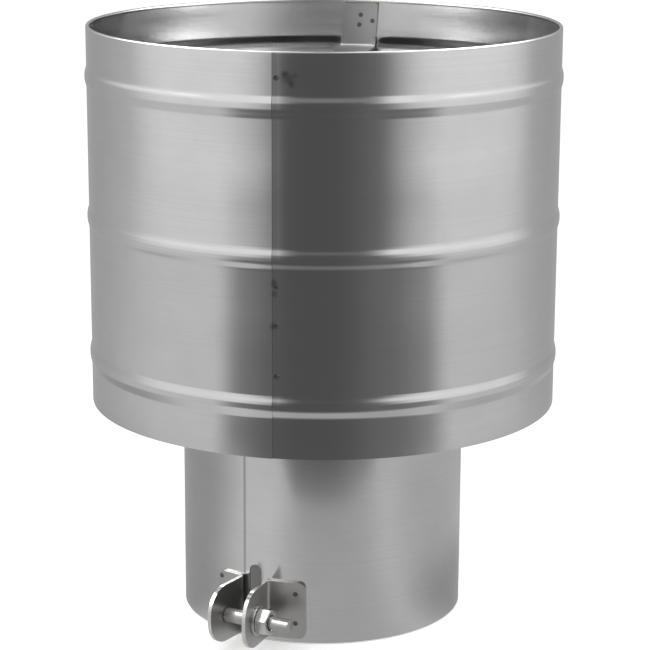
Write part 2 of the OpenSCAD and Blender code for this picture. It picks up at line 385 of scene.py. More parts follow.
def run_nodes(obj: Piece, tree: Tree, values: dict, name: str) -> Piece:
    """Run a node tree on an object and keep the result as a plain mesh.

    Args:
        obj: The helper object that carries the tree's starting geometry. It is removed.
        tree: The Geometry Nodes tree.
        values: The tree's named inputs.
        name: Name of the finished piece.

    Returns:
        The finished piece, at the origin.
    """
    modifier = obj.modifiers.new("build", "NODES")
    modifier.node_group = tree
    sockets = {s.name: s.identifier for s in tree.interface.items_tree if s.in_out == "INPUT"}
    for key, value in values.items():
        modifier[sockets[key]] = value
    return as_mesh(obj, name)


def new_tree(name: str, inputs: dict[str, str]) -> tuple[Tree, Node]:
    """Start a Geometry Nodes tree with named inputs.

    Args:
        name: The tree's name.
        inputs: Input name to socket type, such as {"Pitch": "Float"}.

    Returns:
        The tree and its input node.
    """
    tree = bpy.data.node_groups.new(name, "GeometryNodeTree")
    tree.interface.new_socket("Geometry", in_out="INPUT", socket_type="NodeSocketGeometry")
    for key, kind in inputs.items():
        tree.interface.new_socket(key, in_out="INPUT", socket_type="NodeSocket" + kind)
    tree.interface.new_socket("Geometry", in_out="OUTPUT", socket_type="NodeSocketGeometry")
    return tree, add_node(tree, "NodeGroupInput")


def close_tree(tree: Tree, source: Node, geometry: Socket) -> None:
    """End a tree in Realize Instances and Set Material, as the export needs.

    Args:
        tree: The tree.
        source: Its input node, which has a Material.
        geometry: What the tree has made.
    """
    real = add_node(tree, "GeometryNodeRealizeInstances", {0: geometry})
    dress = {0: real.outputs[0], "Material": source.outputs["Material"]}
    dressed = add_node(tree, "GeometryNodeSetMaterial", dress)
    add_node(tree, "NodeGroupOutput", {0: dressed.outputs[0]})


def sweep(tree: Tree, source: Node, line: Socket, section: str) -> Socket:
    """Sweep a section along a line that stays upright.

    Args:
        tree: The Geometry Nodes tree.
        source: Its input node.
        line: The curve to follow.
        section: Name of the input that holds the section, a closed mesh line.

    Returns:
        The swept mesh.
    """
    upright = add_node(tree, "GeometryNodeSetCurveNormal", {0: line}, mode="Z_UP")
    drawn = add_node(tree, "GeometryNodeObjectInfo", {0: source.outputs[section]})
    profile = add_node(tree, "GeometryNodeMeshToCurve", {0: drawn.outputs["Geometry"]})
    ends = {"Curve": upright.outputs[0], "Profile Curve": profile.outputs[0], "Fill Caps": True}
    return add_node(tree, "GeometryNodeCurveToMesh", ends).outputs[0]


# Finishes


class Grain(Enum):
    """The way in which the brush or the mill has run over a sheet: marks per metre along X, Y and Z."""

    AROUND = (9.0, 9.0, 1900.0)
    UPRIGHT = (1900.0, 1900.0, 9.0)
    NONE = (260.0, 260.0, 260.0)


@dataclass(frozen=True)
class HeatTint:
    """The soft dark tint of a spot weld's heat on a sheet.

    It lies round a point, has a reach in metres and a strength of up to 1.
    """

    centre: tuple[float, float, float]
    reach: float
    strength: float
    tone: str = "#474544"
    ragged: float = 240.0

    def lay(self, tree: Tree, place: Socket, colour: Socket) -> Socket:
        """Lay the tint on a colour.

        Args:
            tree: The material's tree.
            place: Object coordinates.
            colour: The colour so far.

        Returns:
            The tinted colour.
        """
        centre = {0: place, 1: self.centre}
        away = add_node(tree, "ShaderNodeVectorMath", centre, operation="DISTANCE").outputs["Value"]
        rag = add_node(tree, "ShaderNodeTexNoise", {"Vector": place, "Scale": self.ragged, "Detail": 3.0})
        # The tint's edge is ragged: the noise moves it outwards by up to nine tenths of its reach
        shift = {0: rag.outputs[0], 1: self.reach * 0.9, 2: away}
        edge = add_node(tree, "ShaderNodeMath", shift, operation="MULTIPLY_ADD").outputs[0]
        fall = {0: edge, 1: self.reach * 0.55, 2: self.reach * 1.5, 3: self.strength, 4: 0.0}
        heat = add_node(tree, "ShaderNodeMapRange", fall, interpolation_type="SMOOTHSTEP").outputs[0]
        laid = {0: heat, 6: colour, 7: linear(self.tone)}
        return add_node(tree, "ShaderNodeMix", laid, data_type="RGBA").outputs[2]


@dataclass(frozen=True)
class SeamLine:
    """The dark line of a welded butt seam in front: its azimuth, half its width and a strength of up to 1."""

    azimuth: float
    half: float
    strength: float
    tone: str = "#5A5858"

    def lay(self, tree: Tree, place: Socket, colour: Socket) -> Socket:
        """Lay the line on a colour.

        Args:
            tree: The material's tree.
            place: Object coordinates.
            colour: The colour so far.

        Returns:
            The colour with the seam.
        """
        a = math.radians(self.azimuth)
        across = {0: place, 1: (math.cos(a), math.sin(a), 0.0)}
        side = add_node(tree, "ShaderNodeVectorMath", across, operation="DOT_PRODUCT").outputs["Value"]
        off = add_node(tree, "ShaderNodeMath", {0: side}, operation="ABSOLUTE").outputs[0]
        forward = {0: place, 1: (math.sin(a), -math.cos(a), 0.0)}
        ahead = add_node(tree, "ShaderNodeVectorMath", forward, operation="DOT_PRODUCT").outputs["Value"]
        near = add_node(tree, "ShaderNodeMath", {0: ahead, 1: 0.0}, operation="GREATER_THAN").outputs[0]
        fall = {0: off, 1: self.half * 0.4, 2: self.half, 3: self.strength, 4: 0.0}
        band = add_node(tree, "ShaderNodeMapRange", fall, interpolation_type="SMOOTHSTEP").outputs[0]
        mask = add_node(tree, "ShaderNodeMath", {0: band, 1: near}, operation="MULTIPLY").outputs[0]
        laid = {0: mask, 6: colour, 7: linear(self.tone)}
        return add_node(tree, "ShaderNodeMix", laid, data_type="RGBA").outputs[2]


@dataclass(frozen=True)
class RolledStainless:
    """Austenitic stainless sheet, cold rolled and lightly brushed.

    It gives the eye a half mirror: the room is seen in soft bands, drawn out across the brush lines.
    The depths of its grain and of its waves, and the waves' length, are in millimetres.
    """

    name: str
    colour: str = "#CFCFCF"
    roughness: float = 0.15
    grain: Grain = Grain.AROUND
    grain_depth: float = 0.0025
    wave_length: float = 60.0
    wave_depth: float = 0.05
    film_scale: float = 28.0
    film_strength: float = 0.10
    film_tone: str = "#7B7A79"
    streak: float = 0.02
    marks: tuple[HeatTint | SeamLine, ...] = ()

    def build(self) -> Material:
        """Build the finish.

        Returns:
            The material.
        """
        mat, tree, shader = new_material(self.name)
        place = add_node(tree, "ShaderNodeTexCoord").outputs["Object"]
        # The real brush lines are near 0.1 mm apart; they are drawn at about 0.5 mm, the least that shows
        run = add_node(tree, "ShaderNodeMapping", {"Vector": place, "Scale": self.grain.value}).outputs[0]
        lines = add_node(tree, "ShaderNodeTexNoise", {"Vector": run, "Scale": 1.0, "Detail": 3.0}).outputs[0]
        long = {"Vector": place, "Scale": 1 / (self.wave_length * MM), "Detail": 1.0}
        waves = add_node(tree, "ShaderNodeTexNoise", long).outputs[0]
        # Handling leaves a film that greys the sheet by a few per cent and makes it duller
        hands = {"Vector": place, "Scale": self.film_scale, "Detail": 5.0, "Roughness": 0.62}
        film = add_node(tree, "ShaderNodeTexNoise", hands).outputs[0]
        greyed = {0: film, 1: 0.35, 2: 0.75, 3: 0.0, 4: self.film_strength}
        shade = add_node(tree, "ShaderNodeMapRange", greyed).outputs[0]
        worn = {0: shade, 6: linear(self.colour), 7: linear(self.film_tone)}
        tone = add_node(tree, "ShaderNodeMix", worn, data_type="RGBA").outputs[2]
        light = {0: lines, 1: 0.3, 2: 0.7, 3: 1 - self.streak, 4: 1 + self.streak}
        streaks = add_node(tree, "ShaderNodeMapRange", light).outputs[0]
        drawn = {0: 1.0, 6: tone, 7: streaks}
        colour = add_node(tree, "ShaderNodeMix", drawn, data_type="RGBA", blend_type="MULTIPLY").outputs[2]
        for mark in self.marks:
            colour = mark.lay(tree, place, colour)
        tree.links.new(colour, shader.inputs["Base Color"])
        dulled = {0: film, 1: 0.3, 2: 0.8, 3: self.roughness * 0.85, 4: self.roughness * 1.25}
        rough = add_node(tree, "ShaderNodeMapRange", dulled).outputs[0]
        tree.links.new(rough, shader.inputs["Roughness"])
        shader.inputs["Metallic"].default_value = 1.0
        flat = {"Height": waves, "Strength": 1.0, "Distance": self.wave_depth * MM}
        sway = add_node(tree, "ShaderNodeBump", flat).outputs[0]
        fine = {"Height": lines, "Normal": sway, "Strength": 1.0, "Distance": self.grain_depth * MM}
        tree.links.new(add_node(tree, "ShaderNodeBump", fine).outputs[0], shader.inputs["Normal"])
        return mat


@dataclass(frozen=True)
class SpotWeldTint:
    """The blue-brown oxide of a resistance spot weld, a dull dark dot on bright sheet."""

    name: str = "spot_weld_oxide"
    colour: str = "#535251"
    rim: str = "#807E7C"
    roughness: float = 0.42
    fleck_depth: float = 0.1 * MM

    def build(self) -> Material:
        """Build the finish.

        Returns:
            The material.
        """
        mat, tree, shader = new_material(self.name)
        place = add_node(tree, "ShaderNodeTexCoord").outputs["Object"]
        # Oxide flecks of about 0.4 mm
        spots = {"Vector": place, "Scale": 2500.0, "Detail": 2.0}
        flecks = add_node(tree, "ShaderNodeTexNoise", spots).outputs[0]
        span = add_node(tree, "ShaderNodeMapRange", {0: flecks, 1: 0.4, 2: 0.7, 3: 0.0, 4: 1.0}).outputs[0]
        burnt = {0: span, 6: linear(self.colour), 7: linear(self.rim)}
        tone = add_node(tree, "ShaderNodeMix", burnt, data_type="RGBA").outputs[2]
        tree.links.new(tone, shader.inputs["Base Color"])
        shader.inputs["Metallic"].default_value = 1.0
        shader.inputs["Roughness"].default_value = self.roughness
        rugged = {"Height": flecks, "Strength": 0.6, "Distance": self.fleck_depth}
        tree.links.new(add_node(tree, "ShaderNodeBump", rugged).outputs[0], shader.inputs["Normal"])
        return mat


@dataclass(frozen=True)
class TurnedFastener:
    """A cold-formed stainless bolt, nut or washer: bright, with faint tool rings and rubbed corners."""

    name: str
    colour: str = "#D8D8D6"
    grime: str = "#77726C"
    roughness: float = 0.2
    mark_depth: float = 0.04 * MM

    def build(self) -> Material:
        """Build the finish.

        Returns:
            The material.
        """
        mat, tree, shader = new_material(self.name)
        place = add_node(tree, "ShaderNodeTexCoord").outputs["Object"]
        # Tool marks lie near 0.15 mm apart; they are drawn at 0.5 mm to show
        tool = {"Vector": place, "Scale": 2000.0, "Detail": 2.0}
        marks = add_node(tree, "ShaderNodeTexNoise", tool).outputs[0]
        rubbed = {"Vector": place, "Scale": 160.0, "Detail": 4.0}
        grime = add_node(tree, "ShaderNodeTexNoise", rubbed).outputs[0]
        dull = add_node(tree, "ShaderNodeMapRange", {0: grime, 1: 0.4, 2: 0.75, 3: 0.0, 4: 0.35}).outputs[0]
        soiled = {0: dull, 6: linear(self.colour), 7: linear(self.grime)}
        tone = add_node(tree, "ShaderNodeMix", soiled, data_type="RGBA").outputs[2]
        tree.links.new(tone, shader.inputs["Base Color"])
        dulled = {0: grime, 1: 0.3, 2: 0.8, 3: self.roughness * 0.8, 4: self.roughness * 1.8}
        rough = add_node(tree, "ShaderNodeMapRange", dulled).outputs[0]
        tree.links.new(rough, shader.inputs["Roughness"])
        shader.inputs["Metallic"].default_value = 1.0
        cut = {"Height": marks, "Strength": 0.35, "Distance": self.mark_depth}
        tree.links.new(add_node(tree, "ShaderNodeBump", cut).outputs[0], shader.inputs["Normal"])
        return mat


# Sheet metal

FlatPoint = tuple[float, float]
Bending = Callable[[float, float], Vector]


@dataclass
class FlatPattern:
    """A sheet drawn flat, before it is rolled or bent."""

    points: list[FlatPoint]
    faces: list[tuple[int, ...]]

    @classmethod
    def from_rows(cls, us: Sequence[Sequence[float]], vs: Sequence[float]) -> "FlatPattern":
        """Make a pattern of level rows with the same number of points in each.

        Args:
            us: Places of each row's points.
            vs: Height of each row.

        Returns:
            The pattern.
        """
        wide = len(us[0])
        points = [(u, v) for row, v in zip(us, vs) for u in row]
        faces = [
            (r * wide + c, r * wide + c + 1, (r + 1) * wide + c + 1, (r + 1) * wide + c)
            for r in range(len(vs) - 1)
            for c in range(wide - 1)
        ]
        return cls(points, faces)

    @classmethod
    def from_outline(
        cls,
        outline: Sequence[FlatPoint],
        holes: Sequence[Sequence[FlatPoint]] = (),
        folds: Sequence[float] = (),
        reach: float = 1.0,
    ) -> "FlatPattern":
        """Fill an outline with triangles that have edges along every fold line.

        Args:
            outline: The sheet's outline, anticlockwise.
            holes: Outlines of its holes.
            folds: Places of upright lines across which the sheet is bent.
            reach: Half the length of those lines.

        Returns:
            The pattern.
        """
        points: list[Vector] = []
        edges: list[tuple[int, int]] = []
        for loop in (outline, *holes):
            start = len(points)
            points += [Vector(p) for p in loop]
            edges += [(start + i, start + (i + 1) % len(loop)) for i in range(len(loop))]
        for u in folds:
            edges.append((len(points), len(points) + 1))
            points += [Vector((u, -reach)), Vector((u, reach))]
        made, _, faces, *_ = delaunay_2d_cdt(points, edges, [], 2, 1e-9)
        inner = []
        for face in faces:
            middle = sum((made[i] for i in face), Vector((0, 0))) / len(face)
            if cls._within(middle, outline) and not any(cls._within(middle, hole) for hole in holes):
                inner.append(face)
        used = sorted({i for f in inner for i in f})
        index = {old: new for new, old in enumerate(used)}
        return cls([tuple(made[i]) for i in used], [tuple(index[i] for i in f) for f in inner])

    @staticmethod
    def _within(point: Vector, loop: Sequence[FlatPoint]) -> bool:
        """Tell whether a point lies in a loop, by the crossings of a level ray from it.

        Args:
            point: The point.
            loop: The loop's points.

        Returns:
            True if it does.
        """
        hit = False
        for (x0, y0), (x1, y1) in zip(loop, [*loop[1:], loop[0]]):
            if (y0 > point.y) != (y1 > point.y) and point.x < (x1 - x0) * (point.y - y0) / (y1 - y0) + x0:
                hit = not hit
        return hit

    def form(self, name: str, front: Bending, back: Bending, step: FlatPoint | None = None) -> Piece:
        """Bend the pattern into its place and give it its thickness.

        Args:
            name: Name of the piece.
            front: Place of a flat point on the sheet's outer face.
            back: Place of the same point on its inner face.
            step: Steps in u and v over which the sheet's true normals are measured, for smooth reflections.

        Returns:
            The piece.
        """
        n = len(self.points)
        verts = [front(u, v) for u, v in self.points] + [back(u, v) for u, v in self.points]
        seen = {pair for face in self.faces for pair in zip(face, [*face[1:], face[0]])}
        open_edges = [
            (a, b)
            for face in self.faces
            for a, b in zip(face, [*face[1:], face[0]])
            if (b, a) not in seen
        ]
        rim = [(b, a, a + n, b + n) for a, b in open_edges]
        faces = [*self.faces, *[tuple(i + n for i in reversed(f)) for f in self.faces], *rim]
        piece = solid(name, verts, faces)
        mesh = piece.data
        bm = bmesh.new()
        bm.from_mesh(mesh)
        if bm.calc_volume(signed=True) < 0:
            bmesh.ops.reverse_faces(bm, faces=bm.faces)
        bm.to_mesh(mesh)
        bm.free()
        mesh.shade_smooth()
        if step:
            self._true_normals(mesh, front, back, step)
        return piece

    def _true_normals(self, mesh: Mesh, front: Bending, back: Bending, step: FlatPoint) -> None:
        """Give each corner the normal of the bent sheet itself.

        Args:
            mesh: The piece's mesh.
            front: Mapping of the outer face.
            back: Mapping of the inner face.
            step: Steps in u and v.
        """
        du, dv = step
        true = []
        for side in (front, back):
            for u, v in self.points:
                across = side(u + du, v) - side(u - du, v)
                along = side(u, v + dv) - side(u, v - dv)
                true.append(across.cross(along).normalized())
        normals = []
        sheet_faces = 2 * len(self.faces)
        for poly in mesh.polygons:
            for vert in poly.vertices:
                normal = true[vert] if poly.index < sheet_faces else poly.normal.copy()
                normals.append(normal if normal.dot(poly.normal) > 0 else -normal)
        mesh.normals_split_custom_set(normals)


@dataclass
class RollingTree:
    """The tree that sweeps a sheet's cross-section along the line to which the sheet is rolled."""

    tree: Tree = field(init=False)

    def __post_init__(self) -> None:
        """Build the tree once."""
        self.tree, source = new_tree("rolled_sheet", {"Section": "Object", "Material": "Material"})
        line = add_node(self.tree, "GeometryNodeMeshToCurve", {0: source.outputs["Geometry"]})
        close_tree(self.tree, source, sweep(self.tree, source, line.outputs[0], "Section"))

    def roll(
        self, name: str, line: Sequence[Vector], section: Sequence[FlatPoint], material: Material
    ) -> Piece:
        """Roll a sheet.

        Args:
            name: Name of the piece.
            line: The line that the section follows, in a level plane.
            section: Radial offset and height of the closed section's points.
            material: Its finish.

        Returns:
            The piece.
        """
        count = len(section)
        # The sweep turns the section's second axis downwards
        ring = [(i, (i + 1) % count) for i in range(count)]
        profile = solid("section", [(r, -z, 0) for r, z in section], [], ring)
        path = solid("line", line, [], [(i, i + 1) for i in range(len(line) - 1)])
        piece = run_nodes(path, self.tree, {"Section": profile, "Material": material}, name)
        drop(profile)
        outward(piece.data)
        smooth_to(piece.data, 38)
        return piece


# Sub-assemblies


@dataclass
class FlueSpigot:
    """The straight tube that goes over the flue, with its welded seam and its split foot."""

    radius: float = 76.0 * MM
    sheet: float = 0.6 * MM
    length: float = 215.0 * MM
    clamp_azimuth: float = -27.5
    slit_width: float = 7.0 * MM
    slit_height: float = 41.0 * MM
    seam_azimuth: float = -32.5
    seam_depth: float = 0.09 * MM
    seam_half: float = 0.6 * MM
    # Length over which the seam's groove fades out above the slit
    seam_fade: float = 4.0 * MM
    # Height above the slit at which the rows are level again
    settle: float = 6.0 * MM
    slit_rows: int = 7
    wall_rows: int = 40

    @property
    def slit_half(self) -> float:
        """Return half the slit's width, in degrees round the tube."""
        return arc_deg(self.slit_width / 2, self.radius)

    @property
    def knee(self) -> float:
        """Return the height at which the slit's round end starts."""
        return self.slit_height - self.slit_width / 2

    def _columns(self) -> list[float]:
        """Place the columns: close together over the slit and at the seam, and even elsewhere.

        Returns:
            Their places, in degrees from the middle of the clamp.
        """
        half = self.slit_half
        seam = self.seam_azimuth - self.clamp_azimuth
        step = arc_deg(self.seam_half, self.radius)
        over_slit = [half * math.sin(math.radians(t)) for t in range(-90, 91, 10)]
        near_seam = [seam + step * k / 3 for k in range(-6, 7)]
        even = np.arange(half + 0.6, 360 - half - 0.3, 1.5).tolist()
        rest = [a for a in even if abs(a - 360 - seam) > 2.2 * step]
        around = sorted([*over_slit, *rest, *[360 + a for a in near_seam if a < -half]])
        return [*around, 360 - half]

    def _wall(self, radius: float) -> Bending:
        """Map the flat sheet to one face of the tube.

        Args:
            radius: The face's radius, in metres.

        Returns:
            The mapping, from degrees and height to a place.
        """

        def place(u: float, v: float) -> Vector:
            """Roll one point of the sheet.

            Args:
                u: Degrees from the clamp.
                v: Height.

            Returns:
                Its place.
            """
            azimuth = self.clamp_azimuth + u
            off = math.radians((azimuth - self.seam_azimuth + 180) % 360 - 180) * self.radius
            fade = limited((v - self.slit_height) / self.seam_fade)
            groove = self.seam_depth * fade * math.exp(-((off / self.seam_half) ** 2))
            return polar(radius - groove, azimuth, v)

        return place

    def _column(self, around: float) -> list[float]:
        """Set the points of one column above the slit's edge.

        Args:
            around: The column's place, in degrees to either side of the clamp.

        Returns:
            Their heights.
        """
        arch = 0.0
        if abs(around) < self.slit_half + 1e-9:
            x = math.radians(around) * self.radius
            arch = math.sqrt(max((self.slit_width / 2) ** 2 - x * x, 0))
        heights = []
        for t in np.linspace(0, 1, self.wall_rows).tolist():
            z = self.knee + t * (self.length - self.knee)
            lift = max(0.0, 1 - (z - self.knee) / (self.settle + self.slit_width / 2))
            heights.append(z + arch * lift)
        return heights

    def _pattern(self) -> FlatPattern:
        """Draw the tube's sheet flat, with its slit and with its two ends joined.

        Returns:
            The pattern.
        """
        half, us = self.slit_half, self._columns()
        last, rows = len(us) - 1, self.slit_rows + self.wall_rows
        beside = np.linspace(0, self.knee, self.slit_rows + 1).tolist()[:-1]
        points: list[FlatPoint] = []
        index: dict[tuple[int, int], int] = {}
        for i, u in enumerate(us):
            around = u if u < 180 else u - 360
            low = [] if abs(around) < half - 1e-9 else beside
            for k, z in enumerate([*low, *self._column(around)], self.slit_rows - len(low)):
                index[(i, k)] = len(points)
                points.append((u, z))
        faces = []
        for i in range(last):
            for k in range(rows - 1):
                if us[i] <= half - 1e-9 and us[i + 1] <= half + 1e-9 and k < self.slit_rows:
                    continue
                corners = [(i, k), (i + 1, k), (i + 1, k + 1), (i, k + 1)]
                if all(c in index for c in corners):
                    faces.append([index[c] for c in corners])
        # Above the slit's edges, the last column is the first one again
        same = {index[(last, k)]: index[(0, k)] for k in range(self.slit_rows, rows)}
        joined = [[same.get(i, i) for i in f] for f in faces]
        used = sorted({i for f in joined for i in f})
        new = {old: k for k, old in enumerate(used)}
        return FlatPattern([points[i] for i in used], [tuple(new[i] for i in f) for f in joined])

    def build(self, finish: RolledStainless) -> Piece:
        """Build the tube.

        Args:
            finish: Its finish.

        Returns:
            The piece.
        """
        outer, inner = self._wall(self.radius), self._wall(self.radius - self.sheet)
        piece = self._pattern().form("flue_tube", outer, inner, (0.1, 0.2 * MM))
        piece.data.materials.append(finish.build())
        return piece


@dataclass
class Drum:
    """The open drum: one sheet with three rolled beads and a curled rim, lapped and spot welded."""

    radius: float = 125.0 * MM
    foot: float = 116.7 * MM
    rim: float = 318.0 * MM
    sheet: float = 0.6 * MM
    curl: float = 1.0 * MM
    curl_end: float = 250.0
    beads: int = 3
    bead_drop: float = 26.6 * MM
    bead_pitch: float = 74.2 * MM
    bead_half: float = 6.1 * MM
    bead_flat: float = 0.9 * MM
    bead_out: float = 0.95 * MM
    seam_azimuth: float = -11.4
    lap: float = 6.0 * MM
    # The lap's inner end is tucked under the outer one and rises from there over this many degrees
    lap_rise: float = 9.0
    lap_gap: float = 0.03 * MM
    peak: float = 0.75 * MM
    peak_left: float = 22.0
    peak_right: float = 12.0
    columns: int = 520

    def bead_heights(self) -> list[float]:
        """Return the heights of the beads' middles, from the top down."""
        return [self.rim - self.bead_drop - i * self.bead_pitch for i in range(self.beads)]

    def _swell(self, z: float) -> float:
        """Measure the beads.

        Args:
            z: A height.

        Returns:
            How far the sheet stands out there.
        """
        swell = 0.0
        for middle in self.bead_heights():
            gap = abs(z - middle)
            if gap < self.bead_half:
                s = max(gap - self.bead_flat, 0) / (self.bead_half - self.bead_flat)
                swell = self.bead_out * (1 + math.cos(math.pi * s)) / 2
        return swell

    def _curl_arc(self, radius: float, angles: Sequence[float]) -> list[FlatPoint]:
        """Set points round the middle of the rim's curl.

        Args:
            radius: Their distance from it.
            angles: Degrees from the outer side, positive upwards.

        Returns:
            Their radial offsets and heights.
        """
        turns = [math.radians(a) for a in angles]
        middle = self.rim - self.curl
        return [(radius * math.cos(a) - self.curl, radius * math.sin(a) + middle) for a in turns]

    def section(self) -> list[FlatPoint]:
        """Draw the cross-section of the drum's sheet.

        Returns:
            Radial offset and height of its points, as a closed line.
        """
        heights = [self.foot]
        for middle in reversed(self.bead_heights()):
            low, high = middle - self.bead_half, middle + self.bead_half
            heights += np.linspace(heights[-1], low, 4).tolist()[1:]
            heights += np.linspace(low, high, 21).tolist()[1:]
        heights += np.linspace(heights[-1], self.rim - self.curl, 4).tolist()[1:]
        outer = [(self._swell(z), z) for z in heights]
        inner = [(self._swell(z) - self.sheet, z) for z in reversed(heights)]
        sweep_angles = np.linspace(0, self.curl_end, 15).tolist()
        curl_out = self._curl_arc(self.curl, sweep_angles[1:])
        curl_in = self._curl_arc(self.curl - self.sheet, sweep_angles[:0:-1])
        return [*outer, *curl_out, *curl_in, *inner]

    def line(self) -> list[Vector]:
        """Draw the line to which the sheet is rolled: its inner end starts under its outer end.

        Returns:
            The line's points, once round and over the lap.
        """
        hidden = arc_deg(self.lap, self.radius)
        points = []
        for k in range(self.columns + 1):
            turn = -hidden + (360 + hidden) * k / self.columns
            right = max(0.0, 1 - max(turn, 0) / self.peak_right)
            left = max(0.0, 1 - (360 - turn) / self.peak_left)
            tuck = (self.sheet + self.lap_gap) * (1 - limited((turn - 0.5) / self.lap_rise)) ** 2
            radius = self.radius + self.peak * (right**2 + left**2) - tuck
            points.append(polar(radius, self.seam_azimuth + turn, 0))
        return points

    def build(self, roller: RollingTree, finish: RolledStainless, inside: RolledStainless) -> Piece:
        """Build the drum.

        Args:
            roller: The tree that rolls sheets.
            finish: Its outer finish.
            inside: Its inner finish.

        Returns:
            The piece.
        """
        piece = roller.roll("beaded_drum", self.line(), self.section(), finish.build())
        piece.data.materials.append(inside.build())
        # A face that looks towards the axis, also on a bead's slope, belongs to the inner side
        inward = -0.3
        for poly in piece.data.polygons:
            if poly.center.xy.dot(poly.normal.xy) < inward * poly.center.xy.length:
                poly.material_index = 1
        return piece


@dataclass
class RainDisc:
    """The flat disc under the open top, with its turned-down edge."""

    radius: float = 90.0 * MM
    top: float = 290.0 * MM
    sheet: float = 0.8 * MM
    skirt: float = 6.0 * MM
    bend: float = 2.5 * MM
    # Rings on the flat top; the first one is closed to a point
    rings: tuple[float, ...] = (0.001 * MM, 20 * MM, 40 * MM, 60 * MM, 75 * MM)
    steps: int = 160

    def build(self, finish: RolledStainless) -> Piece:
        """Build the disc.

        Args:
            finish: Its finish.

        Returns:
            The piece.
        """
        turn = [math.radians(a) for a in range(90, -1, -10)]
        x, z = self.radius - self.bend, self.top - self.bend
        thin = self.bend - self.sheet
        foot = self.top - self.skirt
        profile = [
            *[(r, self.top) for r in self.rings],
            *[(x + self.bend * math.cos(a), z + self.bend * math.sin(a)) for a in turn],
            (self.radius, foot),
            (self.radius - self.sheet, foot),
            *[(x + thin * math.cos(a), z + thin * math.sin(a)) for a in reversed(turn)],
            *[(r, self.top - self.sheet) for r in reversed(self.rings)],
        ]
        piece = revolved("rain_shield", profile, self.steps, 0.005 * MM)
        smooth_to(piece.data, 40)
        piece.data.materials.append(finish.build())
        return piece


